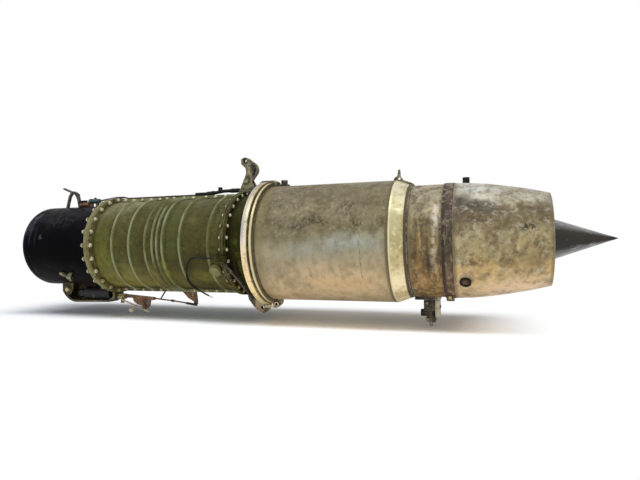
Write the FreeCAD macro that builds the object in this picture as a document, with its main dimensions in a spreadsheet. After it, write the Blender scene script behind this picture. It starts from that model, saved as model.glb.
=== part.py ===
import FreeCAD, Part

import math
import os
import re

import Sketcher

# A small axial-flow turbojet, displayed bare: annular intake drum, split and ribbed
# compressor casing, diffuser, annular burner casing, turbine casing, jet nozzle with
# its pointed inner cone, and the corroded fittings that are left on the outside.
# The engine axis is X, from the intake mouth (0) to the exhaust. Z is up.
# Angles round the engine start at the side towards -Y and grow upwards.

Vector = FreeCAD.Vector
Rotation = FreeCAD.Rotation
Placement = FreeCAD.Placement

TOP = 90
BOTTOM = -90

# Driving dimensions, in millimetres and counts. A station is a distance from the
# intake mouth along the axis.
SIZES = {
    # intake drum
    "drum_length": 380,
    "drum_radius": 175,
    "lip_round": 34,
    "mouth_radius": 129,
    "mouth_chamfer": 4,
    "throat_radius": 125,
    "throat_end": 70,
    "duct_end_radius": 158,
    "intake_bolt_ring": 137,
    "intake_bolt_hole": 3.3,
    "intake_bolt_depth": 14,
    "intake_bolt_count": 8,
    # front frame
    "frame_flange": 12,
    "flange_radius": 207,
    "frame_end": 430,
    "spigot_radius": 178.7,
    "frame_bore_end": 170,
    "hub_start": 318,
    "hub_radius": 72,
    "hub_wall": 6,
    "nose_start": 262,
    "nose_face_radius": 24,
    "strut_chord": 46,
    "strut_thickness": 9,
    "strut_count": 4,
    # compressor casing
    "casing_start": 392,
    "casing_end": 1017,
    "casing_radius": 187,
    "casing_bore": 179,
    "flange_thickness": 12,
    "rib_height": 8,
    "rib_foot": 7,
    "rib_one": 504,
    "rib_two": 586,
    "rib_three": 662,
    "band_front": 697,
    "band_middle": 718,
    "band_rear": 742,
    "band_height": 10,
    "rib_four": 819,
    "rib_five": 944,
    "split_height": 201,
    "split_thickness": 9,
    "split_bolt_line": 193.5,
    # nuts of the flanges
    "front_bolt_ring": 197,
    "front_bolt_count": 22,
    "front_nut_corner": 7.2,
    "front_nut_height": 9,
    "rear_bolt_ring": 197.5,
    "rear_bolt_count": 28,
    "rear_nut_corner": 6.4,
    "rear_nut_height": 8,
    "split_nut_corner": 6.2,
    "split_nut_height": 7,
    # compressor rotor and blading
    "drum_start_radius": 112,
    "rotor_start": 440,
    "rotor_end": 985,
    "drum_end_radius": 152,
    "journal_radius": 30,
    "journal_start": 390,
    "blade_tip": 177,
    "blade_root_depth": 3,
    "blade_chord": 40,
    "blade_camber": 7,
    "blade_stagger": 38,
    "blade_count": 20,
    "vane_chord": 32,
    "vane_camber": 5,
    "vane_stagger": -26,
    "vane_count_half": 9,
    "vane_gap": 3,
    "stage_count": 7,
    "stage_first": 465,
    "stage_pitch": 78.8,
    # diffuser
    "diffuser_end": 1109,
    "diffuser_front_radius": 190,
    "diffuser_rear_radius": 200,
    "diffuser_wall": 6,
    "diffuser_hub_radius": 150,
    "guide_vane_count": 12,
    "guide_vane_start": 1034,
    "guide_vane_chord": 36,
    # mounting ring and burner casing
    "ring_end": 1130,
    "ring_radius": 241,
    "ring_bore": 194,
    "burner_flange_peak": 1139,
    "burner_flange_end": 1148,
    "burner_flange_radius": 236,
    "burner_groove_radius": 227,
    "burner_radius": 222,
    "burner_wall": 3,
    "burner_end": 1633,
    # burner liner, fuel ring and shaft tunnel
    "liner_start": 1180,
    "liner_outer": 196,
    "liner_inner": 104,
    "liner_wall": 2.5,
    "fuel_ring_radius": 153,
    "fuel_ring_half": 7,
    "fuel_ring_station": 1158,
    "fuel_jet_radius": 9,
    "fuel_jet_count": 12,
    "tunnel_radius": 56,
    "tunnel_wall": 4,
    "tunnel_end": 1694,
    # conical band and turbine casing
    "cone_band_end": 1690,
    "cone_band_end_radius": 201,
    "cone_band_wall": 4,
    "turbine_casing_end": 1818,
    "turbine_casing_radius": 200,
    "turbine_casing_bore": 172,
    "clamp_start": 1801,
    "clamp_end": 1835,
    "clamp_radius": 203.5,
    "clamp_seat": 196,
    # turbine
    "nozzle_vane_station": 1705,
    "band_wall": 6,
    "nozzle_vane_chord": 34,
    "nozzle_vane_camber": 8,
    "nozzle_vane_stagger": 42,
    "nozzle_vane_count": 20,
    "inner_band_radius": 125,
    "inner_band_half": 20,
    "turbine_station": 1757,
    "turbine_blade_chord": 30,
    "turbine_blade_camber": 8,
    "turbine_blade_stagger": -30,
    "turbine_blade_count": 30,
    "turbine_tip": 170.5,
    "disc_radius": 124,
    "disc_half": 15,
    "disc_hub_half": 24,
    "disc_hub_radius": 52,
    "shaft_radius": 34,
    "shaft_bore": 25,
    # bearings
    "bearing_width": 24,
    "front_bearing_station": 396,
    "front_bearing_outer": 48,
    "rear_bearing_station": 1664,
    "running_gap": 0.05,
    # jet nozzle and inner cone
    "nozzle_start": 1836,
    "nozzle_front_radius": 202,
    "nozzle_shoulder": 1892,
    "nozzle_shoulder_radius": 200,
    "nozzle_barrel_radius": 1600,
    "nozzle_end": 2139,
    "nozzle_end_radius": 156,
    "nozzle_wall": 3,
    "cone_start": 1800,
    "cone_radius": 124,
    "cone_shoulder": 1987,
    "cone_tip": 2343,
    "cone_strut_station": 1872,
    "cone_strut_radius": 9,
    "port_radius": 18,
    "port_hole": 12,
    "port_height": 8,
    "stub_radius": 12,
    "stub_height": 22,
    # upper mount
    "mount_pin_station": 1027,
    "mount_pin_height": 252,
    "mount_pin_radius": 7,
    "mount_ear_thickness": 9,
    "mount_ear_round": 16,
    "mount_gap": 22,
    "mount_foot_bottom": 189,
    "mount_foot_length": 66,
    "mount_foot_width": 52,
    "mount_foot_height": 23,
    "mount_nut_corner": 12,
    "mount_nut_height": 8,
    "mount_eye_station": 1015,
    "mount_eye_height": 334,
    "mount_eye_radius": 8,
    "link_heel_round": 18,
    "link_knee_round": 36,
    "link_head_round": 26,
    # fittings on top of the casings
    "saddle_width": 44,
    "igniter_station": 1182,
    "igniter_radius": 13,
    "igniter_height": 26,
    "igniter_base_width": 34,
    "igniter_base_height": 10,
    "rear_bracket_station": 1637,
    "rear_bracket_eye": 229,
    "rear_bracket_hole": 5,
    "rear_bracket_thickness": 12,
    "rear_bracket_foot_width": 60,
    # lower mounts
    "lower_mount_side": 20,
    "lower_lug_thickness": 22,
    "lower_lug_round": 24,
    "lower_eye_station": 1094,
    "lower_eye_depth": 254,
    "lower_eye_radius": 7,
    "lower_ear_station": 1154,
    "lower_ear_depth": 240,
    "lower_ear_hole": 5,
    "lower_ear_round": 12,
    # rear mount
    "rear_foot_length": 88,
    "rear_foot_width": 54,
    "rear_foot_height": 14,
    "rear_foot_depth": 196,
    "rear_trunk_length": 50,
    "rear_trunk_width": 38,
    "rear_trunk_height": 44,
    "rear_cheek_length": 15,
    "rear_cheek_width": 46,
    "rear_cheek_height": 58,
    "rear_cross_radius": 13,
    "rear_stem_radius": 17,
    "rear_tip_radius": 6,
    # drum fittings
    "top_strap_front": 78,
    "top_strap_width": 14,
    "breather_stub_radius": 11,
    "breather_union_corner": 12,
    "breather_union_front": 226,
    "breather_union_length": 54,
    "breather_height": 199,
    "breather_pipe_radius": 3.5,
    "top_hose_radius": 7,
    "hose_clamp_radius": 9,
    "drum_clip_thickness": 16,
    # pump and its cradle
    "cradle_front": 112,
    "cradle_depth": 252,
    "cradle_wall": 6,
    "cradle_width": 58,
    "cradle_side": 20,
    "cradle_round": 90,
    "cradle_inner_round": 82,
    "cradle_knob_radius": 9,
    "pump_radius": 28,
    "pump_neck_radius": 18,
    "pump_port_radius": 13,
    # rods and pipes behind the cradle
    "drain_union_corner": 13,
    "drain_union_length": 38,
    "drain_cap_radius": 8,
    "link_bar_thickness": 16,
    "link_pin_radius": 8,
    "control_rod_radius": 3.5,
    "ball_stem_radius": 3,
    "ball_radius": 10.5,
    "drain_pipe_radius": 3,
    "drain_joint_radius": 5,
    "drain_strut_radius": 3,
    "drain_bracket_thickness": 8,
    # side fittings
    "bleed_cap_radius": 25,
    "bleed_cap_crown": 20,
    "bleed_cap_height": 12,
    "lead_clamp_width": 22,
    "lead_radius": 3,
    "side_pipe_radius": 5,
    "side_pipe_nut_radius": 9,
}

doc = FreeCAD.newDocument("JetEngine")
sheet = doc.addObject("Spreadsheet::Sheet", "Sizes")
for row, (alias, number) in enumerate(SIZES.items(), start=1):
    sheet.set(f"A{row}", alias.replace("_", " "))
    sheet.set(f"B{row}", str(number))
    sheet.setAlias(f"B{row}", alias)
doc.recompute()

exported = []


def linked(formula):
    """Return a formula of sheet names as an expression that FreeCAD can follow."""
    return re.sub(r"[a-z][a-z_]+", r"Sizes.\g<0>", str(formula))


def value(formula):
    """Return what a formula of sheet names comes to."""
    return float(sheet.evalExpression(linked(formula)))


def bind(target, path, formula):
    """Tie one property to the sheet."""
    target.setExpression(path, linked(formula))


def keep(thing):
    """Mark an object as a sub-part of the engine."""
    exported.append(thing)
    return thing


def around(station, angle, radius):
    """Return a place on the engine's side, its own Z pointing outwards."""
    turn = math.radians(angle)
    spot = Vector(station, -radius * math.cos(turn), radius * math.sin(turn))
    return Placement(spot, Rotation(Vector(1, 0, 0), 90 - angle))


def origin_part(body, role):
    return next(item for item in body.Origin.OriginFeatures if item.Role == role)


def new_body(label):
    body = doc.addObject("PartDesign::Body", label)
    body.Label = label
    body.AllowCompound = True
    return body


def new_sketch(body, name, role):
    sketch = body.newObject("Sketcher::SketchObject", name)
    sketch.AttachmentSupport = [(origin_part(body, role), "")]
    sketch.MapMode = "FlatFace"
    return sketch


def pin_point(sketch, geometry, end, across, along):
    """Fix one end of a line or arc at two formulas, measured from the sketch's origin."""
    for kind, axis, formula in (("DistanceX", -2, across), ("DistanceY", -1, along)):
        number = value(formula)
        if abs(number) < 1e-9:
            sketch.addConstraint(Sketcher.Constraint("PointOnObject", geometry, end, axis))
            continue
        place = Sketcher.Constraint(kind, -1, 1, geometry, end, number)
        index = sketch.addConstraint(place)
        name = f"{kind.lower()}_{index}"
        sketch.renameConstraint(index, name)
        bind(sketch, f"Constraints.{name}", formula)


def arc_piece(start, end, radius, side):
    """Return an arc from start to end that bulges right (1) or left (-1), and its ends."""
    half = (end - start) * 0.5
    bulge = Vector(half.y, -half.x, 0).normalize() * side
    rise = math.sqrt(radius**2 - half.Length**2)
    centre = start + half - bulge * rise
    circle = Part.Circle(centre, Vector(0, 0, 1), radius)
    first = math.atan2(start.y - centre.y, start.x - centre.x)
    last = math.atan2(end.y - centre.y, end.x - centre.x)
    if side > 0:
        return Part.ArcOfCircle(circle, first, last), 1, 2
    return Part.ArcOfCircle(circle, last, first), 2, 1


def draw_outline(sketch, steps):
    """Draw a closed outline. A step is a corner, or ("arc", radius, side) between two."""
    corners = [step for step in steps if step[0] != "arc"]
    arcs = {}
    count = 0
    for step in steps:
        if step[0] == "arc":
            arcs[count - 1] = step[1:]
        else:
            count += 1
    spots = [Vector(value(x), value(y), 0) for x, y in corners]
    pieces = []
    for index, spot in enumerate(spots):
        following = spots[(index + 1) % len(spots)]
        if index in arcs:
            radius, side = arcs[index]
            geometry, start, end = arc_piece(spot, following, value(radius), side)
        else:
            geometry, start, end = Part.LineSegment(spot, following), 1, 2
        pieces.append((sketch.addGeometry(geometry, False), start, end))
    for index, (geometry, start, end) in enumerate(pieces):
        before, _, before_end = pieces[index - 1]
        sketch.addConstraint(
            Sketcher.Constraint("Coincident", before, before_end, geometry, start)
        )
        pin_point(sketch, geometry, start, *corners[index])
        if index in arcs:
            radius = arcs[index][0]
            size = Sketcher.Constraint("Radius", geometry, value(radius))
            number = sketch.addConstraint(size)
            sketch.renameConstraint(number, f"radius_{number}")
            bind(sketch, f"Constraints.radius_{number}", radius)


def draw_circle(sketch, across, along, radius):
    centre = Vector(value(across), value(along), 0)
    circle = Part.Circle(centre, Vector(0, 0, 1), value(radius))
    geometry = sketch.addGeometry(circle, False)
    pin_point(sketch, geometry, 3, across, along)
    number = sketch.addConstraint(Sketcher.Constraint("Radius", geometry, value(radius)))
    sketch.renameConstraint(number, f"radius_{number}")
    bind(sketch, f"Constraints.radius_{number}", radius)


def turn_profile(body, steps, angle=360):
    """Revolve an outline of (station, radius) corners round the engine axis."""
    name = f"{body.Name}_turning"
    sketch = new_sketch(body, f"{name}_profile", "XZ_Plane")
    draw_outline(sketch, steps)
    turned = body.newObject("PartDesign::Revolution", name)
    turned.Profile = sketch
    turned.ReferenceAxis = (sketch, ["H_Axis"])
    turned.Angle = angle
    body.Tip = turned
    return turned


def turned_part(label, steps):
    body = new_body(label)
    turn_profile(body, steps)
    return keep(body)


def pad_outline(body, name, role, steps, thickness, offset=None, circles=(), midplane=False):
    """Pad an outline with round holes. The offset moves its plane inside the body."""
    sketch = new_sketch(body, f"{body.Name}_{name}_outline", role)
    if offset:
        sketch.AttachmentOffset = offset
    if steps:
        draw_outline(sketch, steps)
    for circle in circles:
        draw_circle(sketch, *circle)
    pad = body.newObject("PartDesign::Pad", f"{body.Name}_{name}")
    pad.Profile = sketch
    pad.SideType = "Symmetric" if midplane else "One side"
    bind(pad, "Length", thickness)
    body.Tip = pad
    return pad


def repeat_round(body, feature, count, angle=360):
    """Repeat one feature round the engine axis."""
    pattern = body.newObject("PartDesign::PolarPattern", f"{feature.Name}_ring")
    pattern.Originals = [feature]
    pattern.Axis = (origin_part(body, "X_Axis"), [""])
    pattern.Angle = angle
    bind(pattern, "Occurrences", count)
    body.Tip = pattern
    return pattern


def peg(name, radius, length, place):
    """Round bar along its own Z axis."""
    bar = doc.addObject("Part::Cylinder", name)
    bind(bar, "Radius", radius)
    bind(bar, "Height", length)
    bar.Placement = place
    return bar


def block(name, length, width, height, place):
    """Box centred on its own Z axis, standing on its own XY plane."""
    box = doc.addObject("Part::Box", name)
    bind(box, "Length", length)
    bind(box, "Width", width)
    bind(box, "Height", height)
    centring = Placement(Vector(-value(length) / 2, -value(width) / 2, 0), Rotation())
    box.Placement = place * centring
    return box


def fused(label, pieces):
    joined = doc.addObject("Part::MultiFuse", label)
    joined.Label = label
    joined.Shapes = pieces
    joined.Refine = True
    return joined


def cut(label, base, tool):
    opened = doc.addObject("Part::Cut", label)
    opened.Label = label
    opened.Base = base
    opened.Tool = tool
    return opened


def hexagon(across, along, corner):
    """Return the six corners of a hexagon about a centre given by two formulas."""
    corners = []
    for step in range(6):
        turn = math.radians(60 * step)
        corners.append(
            (
                f"({across}) + ({corner}) * ({math.cos(turn):.4f})",
                f"({along}) + ({corner}) * ({math.sin(turn):.4f})",
            )
        )
    return corners


def aerofoil(chord, camber):
    """Return a blade section: leading edge, back and trailing edge."""
    return [
        (f"0 - ({chord}) * 0.5", "0"),
        (f"({chord}) * 0.5", "0"),
        (f"0 - ({chord}) * 0.1", camber),
    ]


def blade_row(name, station, root, length, section, stagger, count, sweep=360, first=0):
    """Row of blades round the axis: one padded section, then a polar pattern."""
    body = new_body(name)
    base = Vector(value(station), 0, value(root))
    seat = Placement(base, Rotation(Vector(0, 0, 1), value(stagger)))
    pad = pad_outline(body, "blade", "XY_Plane", section, length, offset=seat)
    bind(body.getObject(f"{name}_blade_outline"), ".AttachmentOffset.Base.x", station)
    bind(body.getObject(f"{name}_blade_outline"), ".AttachmentOffset.Base.z", root)
    repeat_round(body, pad, count, sweep)
    body.Placement = Placement(Vector(), Rotation(Vector(1, 0, 0), first))
    return body


def compound(label, pieces):
    group = doc.addObject("Part::Compound", label)
    group.Label = label
    group.Links = pieces
    return group


def tube(label, points, radius, bend=None):
    """Round pipe through hand-chosen points, straight runs joined by tangent arcs."""
    spots = [Vector(*point) for point in points]
    edges = []
    bends = []
    start = spots[0]
    for before, corner, after in zip(spots, spots[1:], spots[2:]):
        inward = (corner - before).normalize()
        outward = (after - corner).normalize()
        half = inward.getAngle(outward) / 2
        shorter = min((corner - before).Length, (after - corner).Length)
        reach = 0.45 * shorter
        if bend:
            reach = min(reach, bend * math.tan(half))
        curve = reach / math.tan(half)
        first = corner - inward * reach
        last = corner + outward * reach
        towards = (outward - inward).normalize()
        centre = corner + towards * (curve / math.cos(half))
        middle = centre - towards * curve
        edges.append(Part.makeLine(start, first))
        edges.append(Part.Arc(first, middle, last).toShape())
        bends.append(f"{curve:.0f}")
        start = last
    edges.append(Part.makeLine(start, spots[-1]))
    section = Part.makeCircle(value(radius), spots[0], (spots[1] - spots[0]).normalize())
    pipe = doc.addObject("Part::Feature", label)
    pipe.Label = label
    route = Part.Wire(edges)
    pipe.Shape = route.makePipeShell([Part.Wire([section])], True, False)
    pipe.Placement = Placement()
    print(f"{label}: {route.Length:.0f} mm long, bend radii {', '.join(bends)}")
    return pipe


def part(label):
    """The finished sub-part of that name."""
    return next(item for item in exported if item.Label == label)


def seated(label, piece, carriers):
    """Cut away from a fitting whatever would sink into the parts that carry it."""
    for number, carrier in enumerate(carriers[:-1], start=1):
        piece = cut(f"{label}_trim_{number}", piece, carrier)
    return keep(cut(label, piece, carriers[-1]))


def bar_along(name, radius, start, end):
    """Round bar between two points, its size taken from a sheet name."""
    first, last = Vector(*start), Vector(*end)
    place = Placement(first, Rotation(Vector(0, 0, 1), last - first))
    bar = doc.addObject("Part::Cylinder", name)
    bind(bar, "Radius", radius)
    bar.Height = (last - first).Length
    bar.Placement = place
    return bar


def measured_from(station, height, steps):
    """Turn corners listed as distances from a named place into sheet formulas."""
    corners = []
    for step in steps:
        if step[0] == "arc":
            corners.append(step)
            continue
        along, up = step
        corners.append((f"{station} + ({along})", f"{height} + ({up})"))
    return corners


def upright(name, steps, thickness, middle, circles=()):
    """Plate that stands in the engine's XZ plane; middle is its centre across Y."""
    body = new_body(name)
    seat = Placement(Vector(0, 0, -middle), Rotation())
    pad_outline(
        body, "plate", "XZ_Plane", steps, thickness, offset=seat, circles=circles, midplane=True
    )
    return body


# ---------------------------------------------------------------- intake end


def intake_drum():
    """Closed annular drum with a rounded lip; the intake duct is its bore."""
    body = new_body("intake_drum")
    turn_profile(
        body,
        [
            ("drum_length", "drum_radius"),
            ("drum_length", "duct_end_radius"),
            ("throat_end", "throat_radius"),
            ("mouth_chamfer", "throat_radius"),
            ("0", "mouth_radius"),
            ("0", "drum_radius - lip_round"),
            ("arc", "lip_round", -1),
            ("lip_round", "drum_radius"),
        ],
    )
    sketch = new_sketch(body, "intake_bolt_hole_outline", "YZ_Plane")
    draw_circle(sketch, "0", "intake_bolt_ring", "intake_bolt_hole")
    pocket = body.newObject("PartDesign::Pocket", "intake_bolt_hole_cut")
    pocket.Profile = sketch
    pocket.Reversed = True
    bind(pocket, "Length", "intake_bolt_depth")
    repeat_round(body, pocket, "intake_bolt_count")
    keep(body)


def front_frame():
    """Casting between drum and compressor: flange, spigot, bearing hub and struts."""
    body = new_body("front_frame")
    turn_profile(
        body,
        [
            ("drum_length", "flange_radius"),
            ("drum_length + frame_flange", "flange_radius"),
            ("drum_length + frame_flange", "spigot_radius"),
            ("frame_end", "spigot_radius"),
            ("frame_end", "frame_bore_end"),
            ("drum_length", "duct_end_radius"),
        ],
    )
    hub = new_body("front_frame_hub")
    turn_profile(
        hub,
        [
            ("hub_start", "hub_radius"),
            ("frame_end", "hub_radius"),
            ("frame_end", "front_bearing_outer"),
            ("frame_end - hub_wall - bearing_width", "front_bearing_outer"),
            ("hub_start", "hub_radius - hub_wall"),
        ],
    )
    struts = new_body("front_frame_struts")
    seat = Placement(Vector(0, 0, value("hub_radius - hub_wall / 2")), Rotation())
    strut = pad_outline(
        struts,
        "strut",
        "XY_Plane",
        [
            ("drum_length + 1", "0"),
            ("drum_length + strut_chord / 4", "strut_thickness / 2"),
            ("drum_length + strut_chord", "0"),
            ("drum_length + strut_chord / 4", "0 - strut_thickness / 2"),
        ],
        "frame_bore_end + 2 - hub_radius + hub_wall / 2",
        offset=seat,
    )
    repeat_round(struts, strut, "strut_count")
    struts.Placement = Placement(Vector(), Rotation(Vector(1, 0, 0), 45))
    body.Label = "front_frame_ring"
    keep(fused("front_frame", [body, hub, struts]))


def nose_cone():
    """Blunt bullet ahead of the hub."""
    turned_part(
        "nose_cone",
        [
            ("nose_start", "0"),
            ("nose_start", "nose_face_radius"),
            ("hub_start", "hub_radius"),
            ("hub_start", "0"),
        ],
    )


# ------------------------------------------------------------ compressor


def rib(station, height):
    """Return the three corners of a cast rib round the casing."""
    return [
        (f"{station} - rib_foot", "casing_radius"),
        (station, f"casing_radius + {height}"),
        (f"{station} + rib_foot", "casing_radius"),
    ]


def casing_half(label, turn):
    """One half of the ribbed compressor casing, with the flanges that join the halves."""
    body = new_body(label)
    outline = [
        ("casing_start", "casing_bore"),
        ("casing_start", "flange_radius"),
        ("casing_start + flange_thickness", "flange_radius"),
        ("casing_start + flange_thickness", "casing_radius"),
    ]
    for station in ("rib_one", "rib_two", "rib_three"):
        outline += rib(station, "rib_height")
    for station in ("band_front", "band_middle", "band_rear"):
        outline += rib(station, "band_height")
    for station in ("rib_four", "rib_five"):
        outline += rib(station, "rib_height")
    outline += [
        ("casing_end - flange_thickness", "casing_radius"),
        ("casing_end - flange_thickness", "flange_radius"),
        ("casing_end", "flange_radius"),
        ("casing_end", "casing_bore"),
    ]
    turn_profile(body, outline, 180)
    for name, sign in (("upper", ""), ("lower", "0 - ")):
        pad_outline(
            body,
            f"{name}_split_flange",
            "XZ_Plane",
            [
                ("casing_start + 2", f"{sign}(casing_bore + 2)"),
                ("casing_end - 2", f"{sign}(casing_bore + 2)"),
                ("casing_end - 2", f"{sign}(split_height)"),
                ("casing_start + 2", f"{sign}(split_height)"),
            ],
            "split_thickness",
        )
    body.Placement = Placement(Vector(), Rotation(Vector(1, 0, 0), turn))
    keep(body)


def drum_surface(station):
    """Return the formula of the rotor drum's radius at a station."""
    rise = "(drum_end_radius - drum_start_radius) / (rotor_end - rotor_start)"
    return f"drum_start_radius + (({station}) - rotor_start) * {rise}"


def compressor_rotor():
    """Conical drum with its front journal and the moving blade rows."""
    turned_part(
        "compressor_drum",
        [
            ("journal_start", "0"),
            ("journal_start", "journal_radius"),
            ("rotor_start", "journal_radius"),
            ("rotor_start", "drum_start_radius"),
            ("rotor_end", "drum_end_radius"),
            ("rotor_end", "0"),
        ],
    )
    rows = []
    for stage in range(int(value("stage_count"))):
        station = f"stage_first + stage_pitch * {stage}"
        root = f"{drum_surface(station)} - blade_root_depth"
        rows.append(
            blade_row(
                f"rotor_row_{stage + 1}",
                station,
                root,
                f"blade_tip - ({root})",
                aerofoil("blade_chord", "blade_camber"),
                "blade_stagger",
                "blade_count",
            )
        )
    keep(compound("compressor_blades", rows))


def stator_vanes(label, turn):
    """Rows of fixed vanes carried by one half of the casing."""
    rows = []
    count = value("vane_count_half")
    step = 180 / count
    for stage in range(int(value("stage_count"))):
        station = f"stage_first + stage_pitch * ({stage} + 0.5)"
        root = f"{drum_surface(station)} + vane_gap"
        rows.append(
            blade_row(
                f"{label}_row_{stage + 1}",
                station,
                root,
                f"casing_bore + 1.5 - ({root})",
                aerofoil("vane_chord", "vane_camber"),
                "vane_stagger",
                "vane_count_half",
                180 - step,
                turn + step / 2,
            )
        )
    keep(compound(label, rows))


def ring_of_nuts(name, station, reach, circle, corner, count, first=0):
    """Ring of hexagon nuts that sit on a flange's face."""
    body = new_body(name)
    seat = Placement(Vector(0, 0, value(station)), Rotation())
    pad = pad_outline(body, "nut", "YZ_Plane", hexagon("0", circle, corner), reach, offset=seat)
    repeat_round(body, pad, count)
    body.Placement = Placement(Vector(), Rotation(Vector(1, 0, 0), first))
    return body


def flange_bolts():
    """Bolt heads and nuts on both sides of the two large casing flanges."""
    heads = ring_of_nuts(
        "front_bolt_heads",
        "drum_length - front_nut_height",
        "front_nut_height",
        "front_bolt_ring",
        "front_nut_corner",
        "front_bolt_count",
        8,
    )
    nuts = ring_of_nuts(
        "front_bolt_nuts",
        "casing_start + flange_thickness",
        "front_nut_height",
        "front_bolt_ring",
        "front_nut_corner",
        "front_bolt_count",
        8,
    )
    keep(compound("front_flange_bolts", [heads, nuts]))
    keep(
        compound(
            "rear_flange_bolts",
            [
                ring_of_nuts(
                    "rear_bolt_nuts",
                    "casing_end - flange_thickness - rear_nut_height",
                    "rear_nut_height",
                    "rear_bolt_ring",
                    "rear_nut_corner",
                    "rear_bolt_count",
                    6.4,
                )
            ],
        )
    )


# Nuts of the long joints stand clear of the ribs, so their pitch is not even.
SPLIT_NUT_STATIONS = (430, 475, 520, 565, 610, 645, 680, 730, 775, 835, 880, 925, 970)


def split_line_bolts():
    """Nuts along the upper and lower joints of the two casing halves, both sides."""
    nuts = []
    for turn in (0, 180):
        for height in ("split_bolt_line", "0 - split_bolt_line"):
            for station in SPLIT_NUT_STATIONS:
                body = new_body(f"split_nut_{len(nuts) + 1}")
                seat = Placement(Vector(0, 0, value("split_thickness")), Rotation())
                outline = hexagon(f"{station}", height, "split_nut_corner")
                pad_outline(body, "nut", "XZ_Plane", outline, "split_nut_height", offset=seat)
                body.Placement = Placement(Vector(), Rotation(Vector(1, 0, 0), turn))
                nuts.append(body)
    keep(compound("split_flange_bolts", nuts))


# ------------------------------------------------------- burner and turbine


def diffuser_casing():
    """Casting behind the compressor: outer cone, inner hub and outlet guide vanes."""
    outer = new_body("diffuser_outer")
    turn_profile(
        outer,
        [
            ("casing_end", "casing_bore"),
            ("casing_end", "flange_radius"),
            ("casing_end + flange_thickness", "flange_radius"),
            ("casing_end + flange_thickness", "diffuser_front_radius"),
            ("diffuser_end", "diffuser_rear_radius"),
            ("diffuser_end", "casing_bore"),
        ],
    )
    hub = new_body("diffuser_hub")
    turn_profile(
        hub,
        [
            ("casing_end", "diffuser_hub_radius"),
            ("diffuser_end", "diffuser_hub_radius"),
            ("diffuser_end", "tunnel_radius"),
            ("diffuser_end - diffuser_wall", "tunnel_radius"),
            ("diffuser_end - diffuser_wall", "diffuser_hub_radius - diffuser_wall"),
            ("casing_end", "diffuser_hub_radius - diffuser_wall"),
        ],
    )
    vanes = blade_row(
        "outlet_guide_vanes",
        "guide_vane_start + guide_vane_chord / 2",
        "diffuser_hub_radius - 2",
        "casing_bore + 3 - diffuser_hub_radius",
        aerofoil("guide_vane_chord", "vane_camber"),
        "0",
        "guide_vane_count",
    )
    keep(fused("diffuser_casing", [outer, hub, vanes]))


def burner_section():
    """Mounting ring, burner casing and the conical band behind it."""
    turned_part(
        "mounting_ring",
        [
            ("diffuser_end", "ring_bore"),
            ("diffuser_end", "ring_radius"),
            ("ring_end", "ring_radius"),
            ("ring_end", "ring_bore"),
        ],
    )
    turned_part(
        "burner_casing",
        [
            ("ring_end", "burner_radius - burner_wall"),
            ("ring_end", "burner_groove_radius"),
            ("burner_flange_peak", "burner_flange_radius"),
            ("burner_flange_end", "burner_flange_radius"),
            ("burner_flange_end", "burner_radius"),
            ("burner_end", "burner_radius"),
            ("burner_end", "burner_radius - burner_wall"),
        ],
    )
    turned_part(
        "conical_band",
        [
            ("burner_end", "burner_radius - cone_band_wall"),
            ("burner_end", "burner_radius"),
            ("cone_band_end", "cone_band_end_radius"),
            ("cone_band_end", "cone_band_end_radius - cone_band_wall"),
        ],
    )
    turned_part(
        "burner_liner",
        [
            ("liner_start", "liner_inner"),
            ("liner_start", "liner_outer"),
            ("cone_band_end", "liner_outer"),
            ("cone_band_end", "liner_outer - liner_wall"),
            ("liner_start + liner_wall", "liner_outer - liner_wall"),
            ("liner_start + liner_wall", "liner_inner + liner_wall"),
            ("nozzle_vane_station - inner_band_half", "liner_inner + liner_wall"),
            ("nozzle_vane_station - inner_band_half", "liner_inner"),
        ],
    )
    turned_part(
        "shaft_tunnel",
        [
            ("diffuser_end - diffuser_wall", "tunnel_radius"),
            ("tunnel_end", "tunnel_radius"),
            ("tunnel_end", "tunnel_radius - tunnel_wall"),
            ("diffuser_end - diffuser_wall", "tunnel_radius - tunnel_wall"),
        ],
    )


def fuel_ring():
    """Fuel gallery with its jets, which reach to the liner's front wall."""
    turned_part(
        "fuel_manifold",
        [
            ("fuel_ring_station - fuel_ring_half", "fuel_ring_radius - fuel_ring_half"),
            ("fuel_ring_station - fuel_ring_half", "fuel_ring_radius + fuel_ring_half"),
            ("fuel_ring_station + fuel_ring_half", "fuel_ring_radius + fuel_ring_half"),
            ("fuel_ring_station + fuel_ring_half", "fuel_ring_radius - fuel_ring_half"),
        ],
    )
    jets = new_body("fuel_jets")
    seat = Placement(Vector(0, 0, value("fuel_ring_station + fuel_ring_half")), Rotation())
    outline = hexagon("0", "fuel_ring_radius", "fuel_jet_radius")
    reach = "liner_start - fuel_ring_station - fuel_ring_half"
    jet = pad_outline(jets, "jet", "YZ_Plane", outline, reach, offset=seat)
    repeat_round(jets, jet, "fuel_jet_count")
    keep(jets)


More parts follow.
